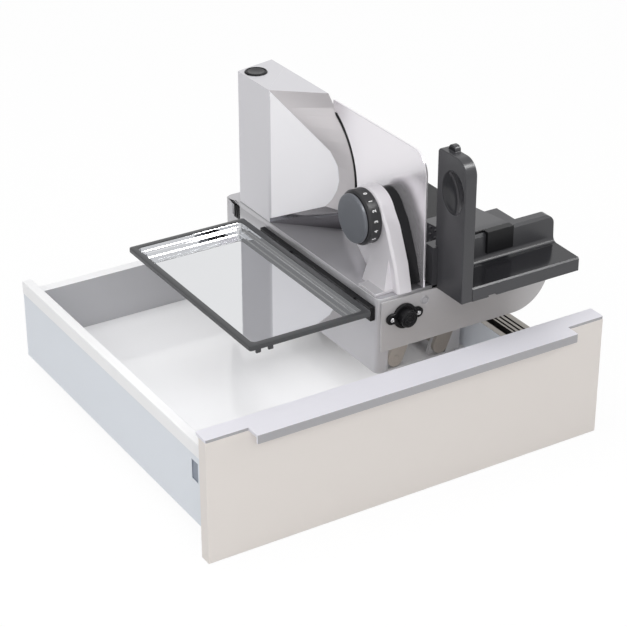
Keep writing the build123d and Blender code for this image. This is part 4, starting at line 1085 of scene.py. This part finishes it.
@dataclass
class Tray:
    """Slice tray, pressed from polished steel, in its dark frame."""

    low: Pair = (106.0, 77.0)
    high: Pair = (283.0, 402.0)

    # Each ring is its inset from the tray's edge, its height and its corner radius, in millimetres
    rings: tuple[Triple, ...] = (
        (8.9, 234.0, 5.0),
        (9.3, 233.6, 4.8),
        (9.7, 228.7, 4.6),
        (10.4, 227.9, 4.4),
        (14.6, 227.6, 4.4),
        (15.4, 226.8, 4.2),
        (15.9, 221.3, 4.0),
        (16.8, 220.3, 3.6),
        (17.5, 220.2, 3.2),
    )
    frame_rings: tuple[Triple, ...] = (
        (0.8, 228.2, 3.2),
        (0.0, 229.0, 4.0),
        (0.0, 234.0, 4.0),
        (0.3, 234.6, 3.8),
        (1.0, 234.9, 3.4),
        (8.0, 235.1, 6.0),
        (8.7, 234.8, 5.6),
        (9.0, 234.1, 5.4),
        (9.0, 229.0, 5.4),
        (8.2, 228.5, 6.0),
    )
    sheet: float = 1.2
    edge: float = 0.5
    bend: float = 25.0
    sharp: float = 40.0
    tabs: Pair = (118.5, 136.0)
    tab_y: float = 78.5
    tab_z: float = 226.2
    tab_size: Triple = (7.0, 3.0, 5.0)
    tab_edge: float = 0.6

    def ring(
        self, bm: bmesh.types.BMesh, inset: float, z: float, radius: float
    ) -> list[bmesh.types.BMEdge]:
        """Lay one rounded outline of the tray.

        Args:
            bm: The tray's mesh.
            inset: How far the outline lies inside the tray's edge, in millimetres.
            z: Its height in millimetres.
            radius: Its corner radius in millimetres.

        Returns:
            The outline's edges, round a face.
        """
        known = set(bm.edges)
        (x0, y0), (x1, y1) = self.low, self.high
        size = Matrix.Diagonal(((x1 - x0 - 2 * inset) / 1000.0, (y1 - y0 - 2 * inset) / 1000.0, 1.0, 1.0))
        outline = Matrix.Translation(place((x0 + x1) / 2, (y0 + y1) / 2, z)) @ size
        grid = bmesh.ops.create_grid(bm, x_segments=1, y_segments=1, size=0.5, matrix=outline)
        bmesh.ops.bevel(
            bm,
            geom=grid["verts"],
            offset=radius / 1000.0,
            segments=6,
            profile=0.5,
            affect="VERTICES",
            material=-1,
        )
        return [edge for edge in bm.edges if edge not in known]

    def pan(self) -> bpy.types.Object:
        """Press the tray's walls and its step from rounded outlines.

        Returns:
            The tray.
        """
        bm = bmesh.new()
        rings = [self.ring(bm, *ring) for ring in self.rings]
        lids = sorted(bm.faces, key=lambda f: f.calc_center_median().z)[1:]
        bmesh.ops.delete(bm, geom=lids, context="FACES_ONLY")
        for upper, lower in zip(rings, rings[1:]):
            bmesh.ops.bridge_loops(bm, edges=upper + lower)
        bmesh.ops.recalc_face_normals(bm, faces=bm.faces)
        bottom = max(bm.faces, key=lambda f: f.calc_area())
        if bottom.normal.z < 0.0:
            bmesh.ops.reverse_faces(bm, faces=bm.faces)
        tray = Shop.link("tray_pan_pressed", bm)
        sheet = tray.modifiers.new("sheet", "SOLIDIFY")
        sheet.thickness = self.sheet / 1000.0
        sheet.offset = -1.0
        Shop.ease(tray, self.edge, angle=self.bend)
        Shop.dress(tray, Look.TRAY)
        return tray

    def tab(self, bm: bmesh.types.BMesh, x: float) -> None:
        """Add one of the tabs under the frame's front.

        Args:
            bm: The frame's mesh.
            x: The tab's place across the drawer, in millimetres.
        """
        size = Matrix.Diagonal((*(side / 1000.0 for side in self.tab_size), 1.0))
        block = Matrix.Translation(place(x, self.tab_y, self.tab_z)) @ size
        cube = bmesh.ops.create_cube(bm, size=1.0, matrix=block)
        bmesh.ops.bevel(
            bm,
            geom=list({e for v in cube["verts"] for e in v.link_edges}),
            offset=self.tab_edge / 1000.0,
            segments=2,
            profile=0.5,
            affect="EDGES",
            material=-1,
        )

    def frame(self) -> bpy.types.Object:
        """Bend the dark frame round the tray, with its two tabs.

        Returns:
            The frame.
        """
        bm = bmesh.new()
        rings = [self.ring(bm, *ring) for ring in self.frame_rings]
        bmesh.ops.delete(bm, geom=bm.faces[:], context="FACES_ONLY")
        for one, other in zip(rings, rings[1:] + rings[:1]):
            bmesh.ops.bridge_loops(bm, edges=one + other)
        for x in self.tabs:
            self.tab(bm, x)
        bmesh.ops.recalc_face_normals(bm, faces=bm.faces)
        rim = Shop.link("tray_frame", bm)
        rim.data.set_sharp_from_angle(angle=math.radians(self.sharp))
        Shop.dress(rim, Look.RIM)
        return rim

    def build(self, frame: dict) -> None:
        """Dress the tray's pieces.

        Args:
            frame: The loaded frame, which is not used.
        """
        Shop.fit(self.pan(), "tray", "tray_pan")
        Shop.fit(self.frame(), "tray", "tray_rim")


def join(pieces: Sequence[bpy.types.Object], name: str) -> bpy.types.Object:
    """Join simple objects that share a finish into one.

    Args:
        pieces: Objects at the origin, which are removed.
        name: The joined object's name.

    Returns:
        The joined object.
    """
    bm = bmesh.new()
    materials = list(pieces[0].data.materials)
    for piece in pieces:
        bm.from_mesh(piece.data)
        bpy.data.objects.remove(piece)
    bmesh.ops.remove_doubles(bm, verts=bm.verts, dist=SAME)
    joined = Shop.link(name, bm)
    for material in materials:
        joined.data.materials.append(material)
    return joined


def main() -> None:
    """Build the scene in order."""
    logging.basicConfig(level=logging.INFO, format="%(message)s")
    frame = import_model()
    parts: list[object] = [Drawer(), SlicerBase(), Tower(), StopAndDial(), Carriage(), Tray()]
    Studio().build()
    for part in parts:
        part.build(frame)


if __name__ == "__main__":
    main()
